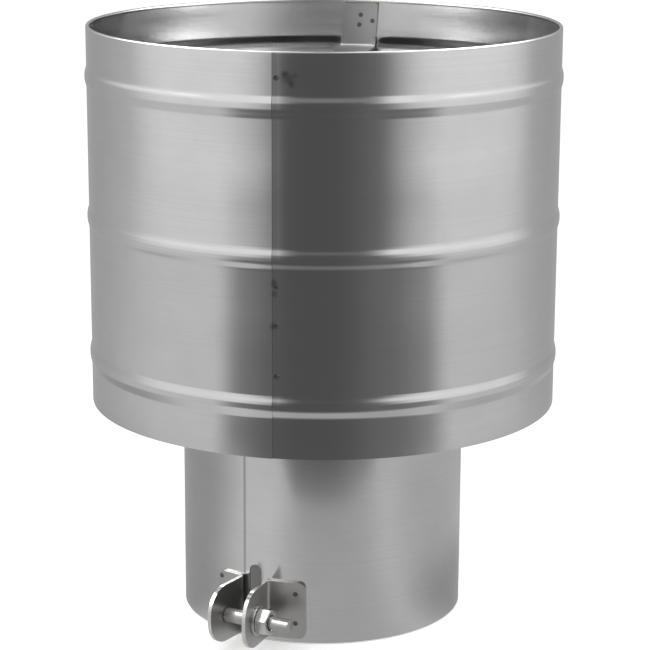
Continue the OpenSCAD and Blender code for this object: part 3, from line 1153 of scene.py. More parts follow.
@dataclass
class StripSet:
    """The straps and brackets: steel strip bent to follow the round walls, three of each."""

    width: float = 20.0 * MM
    strip: float = 1.5 * MM
    bend: float = 1.5 * MM
    drum_bore: float = 124.4 * MM
    spigot: float = 76.0 * MM
    disc_radius: float = 90.0 * MM
    disc_top: float = 290.0 * MM
    strap_top: float = 316.0 * MM
    strap_azimuth: float = 170.1
    strap_lean: float = 3.5
    strap_reach: float = 31.0 * MM
    bracket_turn: float = 48.0
    bracket_z: float = 156.7 * MM
    bracket_leg: float = 25.0 * MM
    corner: float = 1.2 * MM
    edge_break: float = 0.18 * MM
    # Longest face along a strip, and points across it
    face_length: float = 4.0 * MM
    across: int = 13

    @staticmethod
    def _tree() -> Tree:
        """Build the tree that sets copies of a strip evenly round the flue.

        Returns:
            The tree, with the inputs Count, Start and Material.
        """
        tree, source = new_tree("round_the_flue", {"Count": "Int", "Start": "Float", "Material": "Material"})
        count = source.outputs["Count"]
        spots = add_node(tree, "GeometryNodeMeshLine", {"Count": count, "Offset": (0, 0, 0)})
        index = add_node(tree, "GeometryNodeInputIndex")
        step = add_node(tree, "ShaderNodeMath", {0: 2 * math.pi, 1: count}, operation="DIVIDE")
        onward = {0: index.outputs[0], 1: step.outputs[0], 2: source.outputs["Start"]}
        turn = add_node(tree, "ShaderNodeMath", onward, operation="MULTIPLY_ADD")
        euler = add_node(tree, "ShaderNodeCombineXYZ", {"Z": turn.outputs[0]})
        rotation = add_node(tree, "FunctionNodeEulerToRotation", {0: euler.outputs[0]}).outputs[0]
        strips = {"Points": spots.outputs[0], "Instance": source.outputs["Geometry"], "Rotation": rotation}
        copies = add_node(tree, "GeometryNodeInstanceOnPoints", strips)
        close_tree(tree, source, copies.outputs[0])
        return tree

    def _half_width(self, near: float) -> float:
        """Measure the strip's half width, which is less at the rounded corners of its ends.

        Args:
            near: Distance to the nearer end.

        Returns:
            The half width there.
        """
        if near >= self.corner:
            return self.width / 2
        round_off = math.sqrt(max(self.corner**2 - (self.corner - near) ** 2, 0))
        return self.width / 2 - self.corner + round_off

    def _strip(self, name: str, corners: Sequence[FlatPoint], inner_end: float, lean: float) -> Piece:
        """Bend one strip at the front of the flue.

        Args:
            name: Name of the piece.
            corners: Radius and height of its middle line's corners.
            inner_end: Distance from the axis at which a free inner end is cut.
            lean: Lean of the strip on the wall, in degrees.

        Returns:
            The strip.
        """
        middle = round_path([Vector(c) for c in corners], self.bend + self.strip / 2)
        dense: list[Vector] = [middle[0]]
        for a, b in zip(middle, middle[1:]):
            parts = max(1, round((b - a).length / self.face_length))
            dense += [a.lerp(b, (k + 1) / parts) for k in range(parts)]
        run = lengths_along(dense)

        def side(sign: int) -> Bending:
            """Map the flat strip to one of its faces.

            Args:
                sign: 1 for its left face and -1 for its right one.

            Returns:
                The mapping.
            """
            path = offset_path(dense, sign * self.strip / 2)

            def place(u: float, v: float) -> Vector:
                """Place one point.

                Args:
                    u: Its distance from the strip's middle line.
                    v: Its distance along the strip.

                Returns:
                    The point.
                """
                at = point_along(path, run, v)
                x = u + (self.strap_top - at.y) * math.tan(math.radians(lean))
                depth = math.sqrt(max(at.x**2 - x**2, 0))
                return Vector((x, -max(depth, inner_end), at.y))

            return place

        total = run[-1]
        near_end = [self.corner * share for share in (0.1, 0.3, 0.6, 1)]
        stops = sorted({*run, *near_end, *[total - d for d in near_end]})
        spread = np.linspace(-1, 1, self.across).tolist()
        rows = [[self._half_width(min(v, total - v)) * t for t in spread] for v in stops]
        piece = FlatPattern.from_rows(rows, stops).form(name, side(1), side(-1))
        return as_mesh(soften(piece, self.edge_break), name)

    def build(self, finish: RolledStainless) -> list[Piece]:
        """Build the straps and the brackets.

        Args:
            finish: The strip's finish.

        Returns:
            The set of straps and the set of brackets.
        """
        mid = self.strip / 2
        wall, tube = self.drum_bore - mid, self.spigot + mid
        end = self.disc_radius - self.strap_reach
        on_disc, floor, top = self.disc_top + mid, self.bracket_z + mid, self.bracket_z + self.bracket_leg
        hook = [(wall, self.strap_top), (wall, on_disc), (end, on_disc)]
        trough = [(tube, top), (tube, floor), (wall, floor), (wall, top)]
        strap = self._strip("strap", hook, end, self.strap_lean)
        bracket = self._strip("bracket", trough, 0.0, 0.0)
        tree, material = self._tree(), finish.build()
        sets = []
        for piece, name, turn in ((strap, "disc_straps", 0.0), (bracket, "drum_brackets", self.bracket_turn)):
            start = math.radians(self.strap_azimuth) + math.radians(turn)
            made = run_nodes(piece, tree, {"Count": 3, "Start": start, "Material": material}, name)
            made.data.set_sharp_from_angle(angle=math.radians(30))
            sets.append(made)
        return sets


@dataclass
class Clamp:
    """The foot's clamp: two bent lugs, and an M8 bolt with its nut and the nut's washer."""

    spigot: float = 76.0 * MM
    azimuth: float = -27.5
    # Turn of each ear from the clamp's middle, in degrees
    splay: float = 5.4
    plate: float = 2.0 * MM
    bend: float = 1.8 * MM
    foot: float = 3.2 * MM
    height: float = 31.0 * MM
    ear: float = 31.5 * MM
    ear_corner: float = 13.5 * MM
    # Fold lines start this far outside the tube; the rest of the ear is flat
    fold_start: float = 6.0 * MM
    flange_corner: float = 4.0 * MM
    flanges: tuple[float, float] = (16.0 * MM, 21.3 * MM)
    plate_break: float = 0.22 * MM
    bolt_out: float = 16.5 * MM
    bolt_z: float = 17.6 * MM
    bolt_radius: float = 4.0 * MM
    bolt_length: float = 40.0 * MM
    # The bevel at the bolt's tip: how far it goes in and how far down
    bolt_bevel: tuple[float, float] = (0.9 * MM, 0.3 * MM)
    shank: float = 17.0 * MM
    shank_bevel: float = 0.4 * MM
    pitch: float = 1.25 * MM
    thread_depth: float = 0.55 * MM
    # How far the thread's ridge stays below its full depth, and how far it reaches into the core
    crest_cut: float = 0.03 * MM
    ridge_root: float = 0.1 * MM
    # Pitches from the shank to the thread's start, and pitches without thread in all
    thread_start: float = 0.7
    thread_less: float = 1.5
    hole: float = 4.5 * MM
    flats: float = 13.0 * MM
    head: float = 5.3 * MM
    # Radius of the small round face in the middle of each end of the head
    head_middle: float = 0.5 * MM
    nut: float = 6.5 * MM
    nut_turn: float = -18.0
    nut_bore: float = 4.05 * MM
    nut_mouth: float = 0.35 * MM
    corner_fall: float = 30.0
    hex_break: float = 0.12 * MM
    washer_radius: float = 8.0 * MM
    washer: float = 1.6 * MM
    washer_bore: float = 4.2 * MM
    washer_break: float = 0.25 * MM
    seat: float = 0.05 * MM

    @property
    def bearing(self) -> float:
        """Return the radius of a hexagon's flat end, inside its chamfer."""
        return 0.475 * self.flats

    @property
    def lean(self) -> float:
        """Return the ears' splay in radians."""
        return math.radians(self.splay)

    @property
    def bolt_line(self) -> float:
        """Return the bolt's distance from the flue's axis."""
        return self.spigot + self.bolt_out

    def hex_seat(self, face: float) -> float:
        """Find where a hexagon bears on a face that leans with an ear.

        Args:
            face: The face's offset from the ear's middle.

        Returns:
            The distance along the bolt from the clamp's middle.
        """
        on_axis = (face + self.bolt_line * math.sin(self.lean)) / math.cos(self.lean)
        return on_axis + self.bearing * math.tan(self.lean) + self.seat

    def on_bolt(self, along: float) -> Matrix:
        """Place a piece that is built along +Z on the bolt's axis.

        Args:
            along: Its distance along the bolt from the clamp's middle.

        Returns:
            The place as a matrix.
        """
        turn = Matrix.Rotation(math.radians(self.azimuth), 4, "Z")
        at = Matrix.Translation((along, -self.bolt_line, self.bolt_z))
        return turn @ at @ Matrix.Rotation(math.pi / 2, 4, "Y")

    def _plan(self, flange: float) -> list[Vector]:
        """Draw a lug's middle line as seen from above, for an ear that points along -Y.

        Args:
            flange: Length of the flange round the tube.

        Returns:
            Its points, from the ear's tip over the bend to the flange's end.
        """
        mid_r = self.spigot + self.plate / 2
        turn = self.bend + self.plate / 2
        # The bend's centre is a turn away from the ear and from the flange's middle line
        centre = Vector((turn, -math.sqrt((mid_r + turn) ** 2 - turn**2)))
        points = [Vector((0, -self.spigot - self.ear)).lerp(Vector((0, centre.y)), k / 16) for k in range(17)]
        stop = math.atan2(-centre.y, -centre.x)
        for k in range(1, 11):
            a = math.pi + (stop - math.pi) * k / 10
            points.append(centre + turn * Vector((math.cos(a), math.sin(a))))
        touch = math.atan2(centre.x, -centre.y)
        end = math.asin(min(self.spigot * math.sin(flange / self.spigot) / mid_r, 1))
        for k in range(1, 13):
            a = touch + (end - touch) * k / 12
            points.append(Vector((mid_r * math.sin(a), -mid_r * math.cos(a))))
        return points

    def _outline(self, total: float) -> list[FlatPoint]:
        """Draw a lug's flat outline, with a round ear and two rounded flange corners.

        Args:
            total: Length from the ear's tip to the flange's end.

        Returns:
            The outline, anticlockwise.
        """
        ear, flange = self.ear_corner, self.flange_corner
        low, top, end = self.foot, self.foot + self.height, total - flange
        corners = (
            (ear, low + ear, ear, 180),
            (end, low + flange, flange, 270),
            (end, top - flange, flange, 0),
            (ear, top - ear, ear, 90),
        )
        outline = []
        for u, v, radius, first in corners:
            turns = [math.radians(first + 90 * k / 10) for k in range(11)]
            outline += [(u + radius * math.cos(a), v + radius * math.sin(a)) for a in turns]
        return outline

    def _lug(self, side: int, finish: Material, edge: Material) -> Piece:
        """Build one lug.

        Args:
            side: -1 for the left lug, 1 for the right one.
            finish: Its material.
            edge: The material of its cut edges, brighter than the faces: a painted highlight along the edges.

        Returns:
            The lug.
        """
        line = self._plan(self.flanges[0 if side < 0 else 1])
        run = lengths_along(line)
        hole_u = self.spigot + self.ear - self.bolt_line / math.cos(self.lean)
        turns = [-2 * math.pi * k / 40 for k in range(40)]
        bore = [(hole_u + self.hole * math.cos(a), self.bolt_z + self.hole * math.sin(a)) for a in turns]
        folds = [s for s in run if s > self.ear - self.fold_start]
        pattern = FlatPattern.from_outline(self._outline(run[-1]), [bore], folds[1:-1])
        turn = Matrix.Rotation(math.radians(self.azimuth + side * self.splay), 4, "Z")

        def face(sign: int) -> Bending:
            """Map the flat plate to one of its faces.

            Args:
                sign: 1 for its left face and -1 for its right one.

            Returns:
                The mapping.
            """
            path = offset_path(line, sign * self.plate / 2)

            def place(u: float, v: float) -> Vector:
                """Place one point of the plate."""
                at = point_along(path, run, u)
                return turn @ Vector((side * at.x, at.y, v))

            return place

        piece = pattern.form(f"clamp_ear_{'left' if side < 0 else 'right'}", face(-1), face(1))
        piece.data.materials.append(finish)
        piece.data.materials.append(edge)
        # The cut edges take the brighter fastener steel, which paints a highlight along them
        for rim in piece.data.polygons[2 * len(pattern.faces) :]:
            rim.material_index = 1
        return soften(piece, self.plate_break)

    def _hexagon(self, name: str, height: float, bore: float, finish: Material) -> Piece:
        """Build a chamfered hexagonal block along +Z from the origin.

        Args:
            name: Name of the piece.
            height: Its height.
            bore: Radius of its bore, or 0 for a solid head.
            finish: Its material.

        Returns:
            The block.
        """
        count = 96
        columns = []
        for k in range(count):
            a = 2 * math.pi * k / count
            apart = (math.degrees(a) + 30) % 60 - 30
            edge = self.flats / 2 / math.cos(math.radians(apart))
            fall = max(edge - self.bearing, 0) * math.tan(math.radians(self.corner_fall))
            shape = [(self.bearing, 0.0), (edge, fall), (edge, height - fall), (self.bearing, height)]
            if bore:
                mouth, lip = bore + self.nut_mouth, self.nut_mouth
                shape = [(bore, lip), (mouth, 0.0), *shape, (mouth, height), (bore, height - lip)]
            else:
                shape = [(self.head_middle, 0.0), *shape, (self.head_middle, height)]
            columns.append([Vector((r * math.cos(a), r * math.sin(a), z)) for r, z in shape])
        verts = [point for ring in zip(*columns) for point in ring]
        piece = solid(name, verts, ring_faces(len(columns[0]), count, closed=bool(bore), capped=not bore))
        outward(piece.data)
        piece.data.materials.append(finish)
        return soften(piece, self.hex_break, angle=25)

    def _washer(self, finish: Material) -> Piece:
        """Build the nut's washer, flat on its ear.

        Args:
            finish: Its material.

        Returns:
            The washer.
        """
        half, count = self.washer / 2, 72
        bore, edge = self.washer_bore, self.washer_radius
        rings = [(bore, -half), (edge, -half), (edge, half), (bore, half)]
        faces = ring_faces(len(rings), count, closed=True)
        piece = solid("nut_side_washer", ring_points(rings, count), faces)
        middle = self.plate / 2 + self.seat + half
        # The washer's middle lies on the bolt's axis, which crosses the ear's own frame at a slant
        shift = (middle + self.bolt_line * math.sin(self.lean)) * math.tan(self.lean)
        along = shift + self.bolt_line * math.cos(self.lean)
        turn = Matrix.Rotation(math.radians(self.azimuth + self.splay), 4, "Z")
        at = Matrix.Translation((middle, -along, self.bolt_z))
        piece.data.transform(turn @ at @ Matrix.Rotation(math.pi / 2, 4, "Y"))
        outward(piece.data)
        piece.data.materials.append(finish)
        return soften(piece, self.washer_break, 3)

    @staticmethod
    def _thread_tree() -> Tree:
        """Build the tree that winds a thread's ridge along a bolt.

        Returns:
            The tree, with the inputs Turns, Pitch, Radius, Ridge and Material.
        """
        sizes = {"Turns": "Float", "Pitch": "Float", "Radius": "Float"}
        tree, source = new_tree("wound_thread", {**sizes, "Ridge": "Object", "Material": "Material"})
        turns, pitch, radius = (source.outputs[name] for name in ("Turns", "Pitch", "Radius"))
        rise = add_node(tree, "ShaderNodeMath", {0: turns, 1: pitch}, operation="MULTIPLY").outputs[0]
        ends = {"Start Radius": radius, "End Radius": radius}
        winding = {"Resolution": 36, "Rotations": turns, "Height": rise, **ends}
        helix = add_node(tree, "GeometryNodeCurveSpiral", winding)
        wound = sweep(tree, source, helix.outputs[0], "Ridge")
        both = add_node(tree, "GeometryNodeJoinGeometry")
        tree.links.new(source.outputs["Geometry"], both.inputs[0])
        tree.links.new(wound, both.inputs[0])
        close_tree(tree, source, both.outputs[0])
        return tree

    def _bolt(self, finish: Material) -> Piece:
        """Build the bolt's plain shank and its wound thread.

        Args:
            finish: Its material.

        Returns:
            The bolt without its head.
        """
        core, tip, pitch = self.bolt_radius - self.thread_depth, self.bolt_length, self.pitch
        inset, drop_off = self.bolt_bevel
        profile = [
            (0.0, 0.0),
            (self.bolt_radius, 0.0),
            (self.bolt_radius, self.shank - self.shank_bevel),
            (core, self.shank),
            (core, tip - drop_off),
            (core - inset, tip),
            (0.0, tip),
        ]
        base = revolved("core", profile, 64, 0.001 * MM)
        # The thread is wound from the origin, so the core is shifted there and back again
        start = self.shank + self.thread_start * pitch
        base.data.transform(Matrix.Translation((0, 0, -start)))
        # A ridge with the thread's 60 degree flanks and a small flat crest; its foot lies in the core
        root, crest = -self.ridge_root, self.thread_depth - self.crest_cut
        foot_half, crest_half = pitch * 0.47, pitch * 0.1
        ridge = [(root, foot_half, 0), (crest, crest_half, 0), (crest, -crest_half, 0), (root, -foot_half, 0)]
        drawn = solid("ridge", ridge, [], [(0, 1), (1, 2), (2, 3), (3, 0)])
        turns = (tip - self.shank - self.thread_less * pitch) / pitch
        values = {"Turns": turns, "Pitch": pitch, "Radius": core, "Ridge": drawn, "Material": finish}
        piece = run_nodes(base, self._thread_tree(), values, "bolt_shank")
        drop(drawn)
        smooth_to(piece.data, 25)
        piece.data.transform(self.on_bolt(start - self.hex_seat(self.plate / 2)))
        return piece

    def build(
        self, plate: RolledStainless, fastener: TurnedFastener, bolt: TurnedFastener
    ) -> dict[str, Piece]:
        """Build the clamp.

        Args:
            plate: The lugs' finish.
            fastener: The nut's, the washer's and the cut edges' finish; on the cut edges it is a painted
                highlight.
            bolt: The bolt's finish.

        Returns:
            CAD node name to piece, and the bolt's head, which has no node of its own, as "head".
        """
        lug, steel, dull = plate.build(), fastener.build(), bolt.build()
        nut = self._hexagon("hex_nut", self.nut, self.nut_bore, steel)
        on_washer = self.on_bolt(self.hex_seat(self.plate / 2 + self.seat + self.washer))
        nut.data.transform(on_washer @ Matrix.Rotation(math.radians(self.nut_turn), 4, "Z"))
        head = self._hexagon("bolt_head", self.head, 0.0, dull)
        head.data.transform(self.on_bolt(-self.hex_seat(self.plate / 2)) @ Matrix.Scale(-1, 4, UP))
        outward(head.data)
        return {
            "clamp_lug_left": self._lug(-1, lug, steel),
            "clamp_lug_right": self._lug(1, lug, steel),
            "nut_washer": self._washer(steel),
            "clamp_bolt": self._bolt(dull),
            "clamp_nut": nut,
            "head": head,
        }


# A weld mark's place and the direction that it faces
Spot = tuple[Vector, Vector]


@dataclass
class SpotWelds:
    """The electrode marks of the spot welds, small dished dots with a raised edge."""

    radius: float = 1.35 * MM
    lift: float = 0.12 * MM
    # Radius and height of a mark's rings, as shares of the two sizes above
    rings: tuple[FlatPoint, ...] = ((1.0, -0.06), (0.93, 1.0), (0.74, 1.0), (0.5, 0.35), (0.2, 0.2))
    count: int = 20

    @staticmethod
    def _tree() -> Tree:
        """Build the tree that sets a mark on every point, facing out of its sheet.

        Returns:
            The tree, with the inputs Mark and Material.
        """
        tree, source = new_tree("weld_marks_on_sheet", {"Mark": "Object", "Material": "Material"})
        named = {"Name": "facing"}
        facing = add_node(tree, "GeometryNodeInputNamedAttribute", named, data_type="FLOAT_VECTOR").outputs[0]
        turned = add_node(tree, "FunctionNodeAlignRotationToVector", {"Vector": facing}, axis="Z").outputs[0]
        mark = add_node(tree, "GeometryNodeObjectInfo", {0: source.outputs["Mark"]}).outputs["Geometry"]
        marks = {"Points": source.outputs["Geometry"], "Instance": mark, "Rotation": turned}
        copies = add_node(tree, "GeometryNodeInstanceOnPoints", marks)
        close_tree(tree, source, copies.outputs[0])
        return tree

    def _mark(self) -> Piece:
        """Build one mark on the XY plane.

        Returns:
            The mark.
        """
        profile = [(self.radius * r, self.lift * z) for r, z in self.rings]
        faces = ring_faces(len(profile), self.count, capped=True)
        mark = solid("mark", ring_points(profile, self.count), faces)
        outward(mark.data)
        return mark

    def build(self, name: str, spots: Sequence[Spot], finish: Material) -> Piece:
        """Build a set of marks.

        Args:
            name: Name of the piece.
            spots: Place and outward direction of each mark.
            finish: Their material.

        Returns:
            The piece.
        """
        points = solid("spots", [place for place, _ in spots], [])
        facing = points.data.attributes.new("facing", "FLOAT_VECTOR", "POINT")
        for item, (_, direction) in zip(facing.data, spots):
            item.vector = direction.normalized()
        mark = self._mark()
        piece = run_nodes(points, self._tree(), {"Mark": mark, "Material": finish}, name)
        drop(mark)
        smooth_to(piece.data, 50)
        return piece


# Studio


def background_rays(tree: Tree) -> Socket:
    """Find the rays that show the background: from the camera, off metal and through glass.

    Args:
        tree: The tree that needs them.

    Returns:
        1 for such a ray, and 0 for one that only brings light to the pieces.
    """
    path = add_node(tree, "ShaderNodeLightPath").outputs
    seen = {0: path["Is Camera Ray"], 1: path["Is Glossy Ray"]}
    either = add_node(tree, "ShaderNodeMath", seen, operation="ADD").outputs[0]
    every = {0: either, 1: path["Is Transmission Ray"]}
    return add_node(tree, "ShaderNodeMath", every, operation="ADD", use_clamp=True).outputs[0]


@dataclass(frozen=True)
class PhotoCamera:
    """The camera, as the photograph's perspective gives it: pixels, metres and radians."""

    focal_px: float = 2250.59
    centre_px: float = 323.11
    tilt: float = 0.2434
    roll: float = 0.0038
    distance: float = 1.18581
    height: float = 0.44875
    sensor_mm: float = 36.0
    clip: tuple[float, float] = (0.05, 30.0)

    def build(self) -> None:
        """Set the camera in front of the object."""
        data = bpy.data.cameras.new("view")
        camera = bpy.data.objects.new("view", data)
        bpy.context.scene.collection.objects.link(camera)
        bpy.context.scene.camera = camera
        data.sensor_width = self.sensor_mm
        data.lens = self.focal_px / PICTURE_PX * self.sensor_mm
        data.shift_x = (PICTURE_PX / 2 - self.centre_px) / PICTURE_PX
        data.clip_start, data.clip_end = self.clip
        tilt = Matrix.Rotation(math.pi / 2 - self.tilt, 4, "X")
        roll = Matrix.Rotation(self.roll, 4, "Z")
        camera.matrix_world = Matrix.Translation((0, -self.distance, self.height)) @ tilt @ roll


@dataclass(frozen=True)
class SoftLamp:
    """A wide square lamp that lights the pieces and doesn't show itself."""

    name: str
    at: tuple[float, float, float]
    power: float
    size: float = 1.6

    def build(self, target: Vector) -> None:
        """Hang the lamp.

        Args:
            target: The point that it faces.
        """
        data = bpy.data.lights.new(self.name, "AREA")
        data.shape, data.size, data.energy = "SQUARE", self.size, self.power
        lamp = bpy.data.objects.new(self.name, data)
        bpy.context.scene.collection.objects.link(lamp)
        lamp.location = self.at
        lamp.rotation_euler = (target - Vector(self.at)).to_track_quat("-Z", "Y").to_euler()
        lamp.visible_camera = False
        lamp.visible_glossy = False


@dataclass(frozen=True)
class Sector:
    """A part of the room: it lies at an azimuth and reaches half to each side, with a soft edge."""

    azimuth: float
    half: float
    soft: float


@dataclass(frozen=True)
class Card(Sector):
    """A toned card in the ring round the object, as a photographer hangs it for bright metal.

    It may start at a distance.
    """

    tone: str
    beyond: float = 0.0


@dataclass(frozen=True)
class Masks:
    """Masks from 0 to 1 in the cards' tree, made from the level direction in which a point lies."""

    tree: Tree
    heading: Socket

    def fade(self, value: Socket, low: float, high: float) -> Socket:
        """Return 0 below the low value and 1 above the high one, with a soft step between."""
        step = {0: value, 1: low, 2: high, 3: 0.0, 4: 1.0}
        return add_node(self.tree, "ShaderNodeMapRange", step, interpolation_type="SMOOTHSTEP").outputs[0]

    def overlap(self, *masks: Socket) -> Socket:
        """Find where all masks lie over each other.

        Args:
            *masks: The masks.

        Returns:
            Their product.
        """
        result = masks[0]
        for mask in masks[1:]:
            pair = {0: result, 1: mask}
            result = add_node(self.tree, "ShaderNodeMath", pair, operation="MULTIPLY").outputs[0]
        return result

    def outside(self, mask: Socket) -> Socket:
        """Return one less a mask."""
        return add_node(self.tree, "ShaderNodeMath", {0: 1.0, 1: mask}, operation="SUBTRACT").outputs[0]

    def sector(self, part: Sector) -> Socket:
        """Find a part of the room.

        Args:
            part: The part.

        Returns:
            Its mask.
        """
        facing = {0: self.heading, 1: out(part.azimuth)}
        share = add_node(self.tree, "ShaderNodeVectorMath", facing, operation="DOT_PRODUCT").outputs["Value"]
        low = math.cos(math.radians(part.half + part.soft))
        high = math.cos(math.radians(max(part.half - part.soft, 0)))
        return self.fade(share, low, high)

    def lay(self, mask: Socket, under: Socket | tuple, tone: str) -> Socket:
        """Return a tone laid over another one."""
        laid = {0: mask, 6: under, 7: linear(tone)}
        return add_node(self.tree, "ShaderNodeMix", laid, data_type="RGBA").outputs[2]


@dataclass(frozen=True)
class CardPaint:
    """The tones of the bowl of cards, which only shows in the metal.

    Lengths are in metres. A pair of them says where a tone starts to show and where it covers.
    """

    room_tone: str = "#DFDFDF"
    cards: tuple[Card, ...] = (
        Card(180, 64, 44, "#B0B0B0"),
        Card(4.5, 47.5, 7, "#959595"),
        Card(0, 38, 12, "#757575"),
        Card(-5, 12, 18, "#5D5D5D"),
        Card(-60, 28, 15, "#FDFDFD", 1.35),
        Card(70, 30, 17, "#FFFFFF", 1.35),
    )
    card_blur: float = 0.55
    # High up, the two sides are brighter and the front is darker; the lift is the height of the change
    front: Sector = Sector(3, 22, 9)
    rear: Sector = Sector(180, 34, 22)
    lift: tuple[float, float] = (0.35, 0.85)
    high_tone: str = "#FFFFFF"
    high_gain: float = 0.12
    front_lift: tuple[float, float] = (0.72, 1.35)
    front_high: str = "#989898"
    overhead: tuple[float, float] = (1.5, 1.9)
    ceiling_tone: str = "#C8C8C8"
    lamp_rise: tuple[float, float] = (1.0, 1.4)
    lamp_sides: tuple[Sector, Sector] = (Sector(92, 24, 12), Sector(-92, 24, 12))
    lamp_gain: float = 10.0
    # The pale table under the object: its front edge is flat in the middle and falls back at a slant
    table: Sector = Sector(0, 78, 18)
    table_reach: tuple[float, float] = (0.5, 0.4)
    table_centre: float = 0.065
    table_flat: float = 0.175
    table_slant: float = 0.53
    table_edge: tuple[float, float] = (-0.31, -0.286)
    table_tone: str = "#E0E0E0"
    haze: tuple[float, float] = (-0.46, -0.22)
    haze_strength: float = 0.42
    table_middle: Card = Card(7, 20, 26, "#C0C0C0")
    # Painted shadows on the table: beside the foot to the left and right, from the near distances in, and
    # round the foot but not in front of it
    near: tuple[float, float] = (0.52, 0.36)
    side_shadow_cards: tuple[Card, Card] = (Card(-112, 26, 32, "#ACACAC"), Card(95, 30, 32, "#C6C6C6"))
    foot: tuple[float, float] = (0.2, 0.1)
    foot_front: Sector = Sector(0, 58, 24)
    foot_shade: str = "#A8A8A8"
    # A painted shade on the floor inside the flue
    flue: tuple[float, float] = (0.0762, 0.0752)
    flue_shade_tone: str = "#303030"

    def _ring(self, masks: Masks, away: Socket) -> Socket | tuple:
        """Paint the ring of cards.

        Args:
            masks: The tree's masks.
            away: Distance from the flue's axis.

        Returns:
            The tone so far.
        """
        tone: Socket | tuple = linear(self.room_tone)
        for card in self.cards:
            mask = masks.sector(card)
            if card.beyond:
                starts, ends = card.beyond - self.card_blur, card.beyond + self.card_blur
                mask = masks.overlap(mask, masks.fade(away, starts, ends))
            tone = masks.lay(mask, tone, card.tone)
        return tone

    def _depth(self, tree: Tree, axes: Node) -> Socket:
        """Measure how far back a point lies from the table's front edge, which falls back to both sides.

        Args:
            tree: The material's tree.
            axes: The node that splits object coordinates.

        Returns:
            The depth, along Y.
        """
        centre = {0: axes.outputs[0], 1: self.table_centre}
        middle = add_node(tree, "ShaderNodeMath", centre, operation="SUBTRACT").outputs[0]
        across = add_node(tree, "ShaderNodeMath", {0: middle}, operation="ABSOLUTE").outputs[0]
        flat = {0: across, 1: self.table_flat}
        beyond = add_node(tree, "ShaderNodeMath", flat, operation="SUBTRACT", use_clamp=True).outputs[0]
        slant = {0: beyond, 1: self.table_slant, 2: axes.outputs[1]}
        return add_node(tree, "ShaderNodeMath", slant, operation="MULTIPLY_ADD").outputs[0]

    def _ground(
        self,
        masks: Masks,
        away: Socket,
        depth: Socket,
        tone: Socket,
    ) -> Socket:
        """Paint the table, the painted shadows beside the object and round its foot, and the painted shade in
        the flue.

        Args:
            masks: The tree's masks.
            away: Distance from the flue's axis.
            depth: How far back a point lies from the table's front edge.
            tone: The tone so far.

        Returns:
            The painted tone.
        """
        reach = masks.overlap(masks.sector(self.table), masks.fade(away, *self.table_reach))
        soft = {0: masks.fade(depth, *self.haze), 1: self.haze_strength}
        haze = add_node(masks.tree, "ShaderNodeMath", soft, operation="MULTIPLY").outputs[0]
        tone = masks.lay(masks.overlap(haze, reach), tone, self.table_tone)
        table = masks.overlap(masks.fade(depth, *self.table_edge), reach)
        tone = masks.lay(table, tone, self.table_tone)
        middle = masks.overlap(table, masks.sector(self.table_middle))
        tone = masks.lay(middle, tone, self.table_middle.tone)
        # Painted shadows on the table beside the foot, to the left and right
        near = masks.fade(away, *self.near)
        for card in self.side_shadow_cards:
            tone = masks.lay(masks.overlap(near, masks.sector(card)), tone, card.tone)
        # A painted shadow round the foot, though not in front
        foot = masks.overlap(masks.fade(away, *self.foot), masks.outside(masks.sector(self.foot_front)))
        tone = masks.lay(foot, tone, self.foot_shade)
        # The floor inside the flue is painted dark as shade
        return masks.lay(masks.fade(away, *self.flue), tone, self.flue_shade_tone)

    def build(self) -> Material:
        """Paint the cards: a tone for each side of the room, brighter higher up, and a pale table.

        Returns:
            The material.
        """
        mat = bpy.data.materials.new("painted_card")
        mat.use_nodes = True
        tree = mat.node_tree
        tree.nodes.clear()
        place = add_node(tree, "ShaderNodeTexCoord").outputs["Object"]
        axes = add_node(tree, "ShaderNodeSeparateXYZ", {0: place})
        height = axes.outputs[2]
        flat = {0: place, 1: (1, 1, 0)}
        level = add_node(tree, "ShaderNodeVectorMath", flat, operation="MULTIPLY").outputs[0]
        away = add_node(tree, "ShaderNodeVectorMath", {0: level}, operation="LENGTH").outputs["Value"]
        heading = add_node(tree, "ShaderNodeVectorMath", {0: level}, operation="NORMALIZE").outputs[0]
        masks = Masks(tree, heading)
        tone = self._ring(masks, away)
        front, rear = masks.sector(self.front), masks.sector(self.rear)
        high = masks.overlap(masks.fade(height, *self.lift), masks.outside(front), masks.outside(rear))
        tone = masks.lay(high, tone, self.high_tone)
        tone = masks.lay(masks.overlap(masks.fade(height, *self.front_lift), front), tone, self.front_high)
        tone = masks.lay(masks.fade(height, *self.overhead), tone, self.ceiling_tone)
        tone = self._ground(masks, away, self._depth(tree, axes), tone)
        # The high side cards and the ceiling's lamps are brighter than white paint
        lifted = {0: high, 1: self.high_gain, 2: 1.0}
        power = add_node(tree, "ShaderNodeMath", lifted, operation="MULTIPLY_ADD").outputs[0]
        neither = masks.overlap(*[masks.outside(masks.sector(part)) for part in self.lamp_sides])
        lamps = masks.overlap(masks.fade(height, *self.lamp_rise), masks.outside(neither))
        lit = {0: lamps, 1: self.lamp_gain, 2: power}
        power = add_node(tree, "ShaderNodeMath", lit, operation="MULTIPLY_ADD").outputs[0]
        glow = add_node(tree, "ShaderNodeEmission", {0: tone, 1: power})
        add_node(tree, "ShaderNodeOutputMaterial", {0: glow.outputs[0]})
        return mat


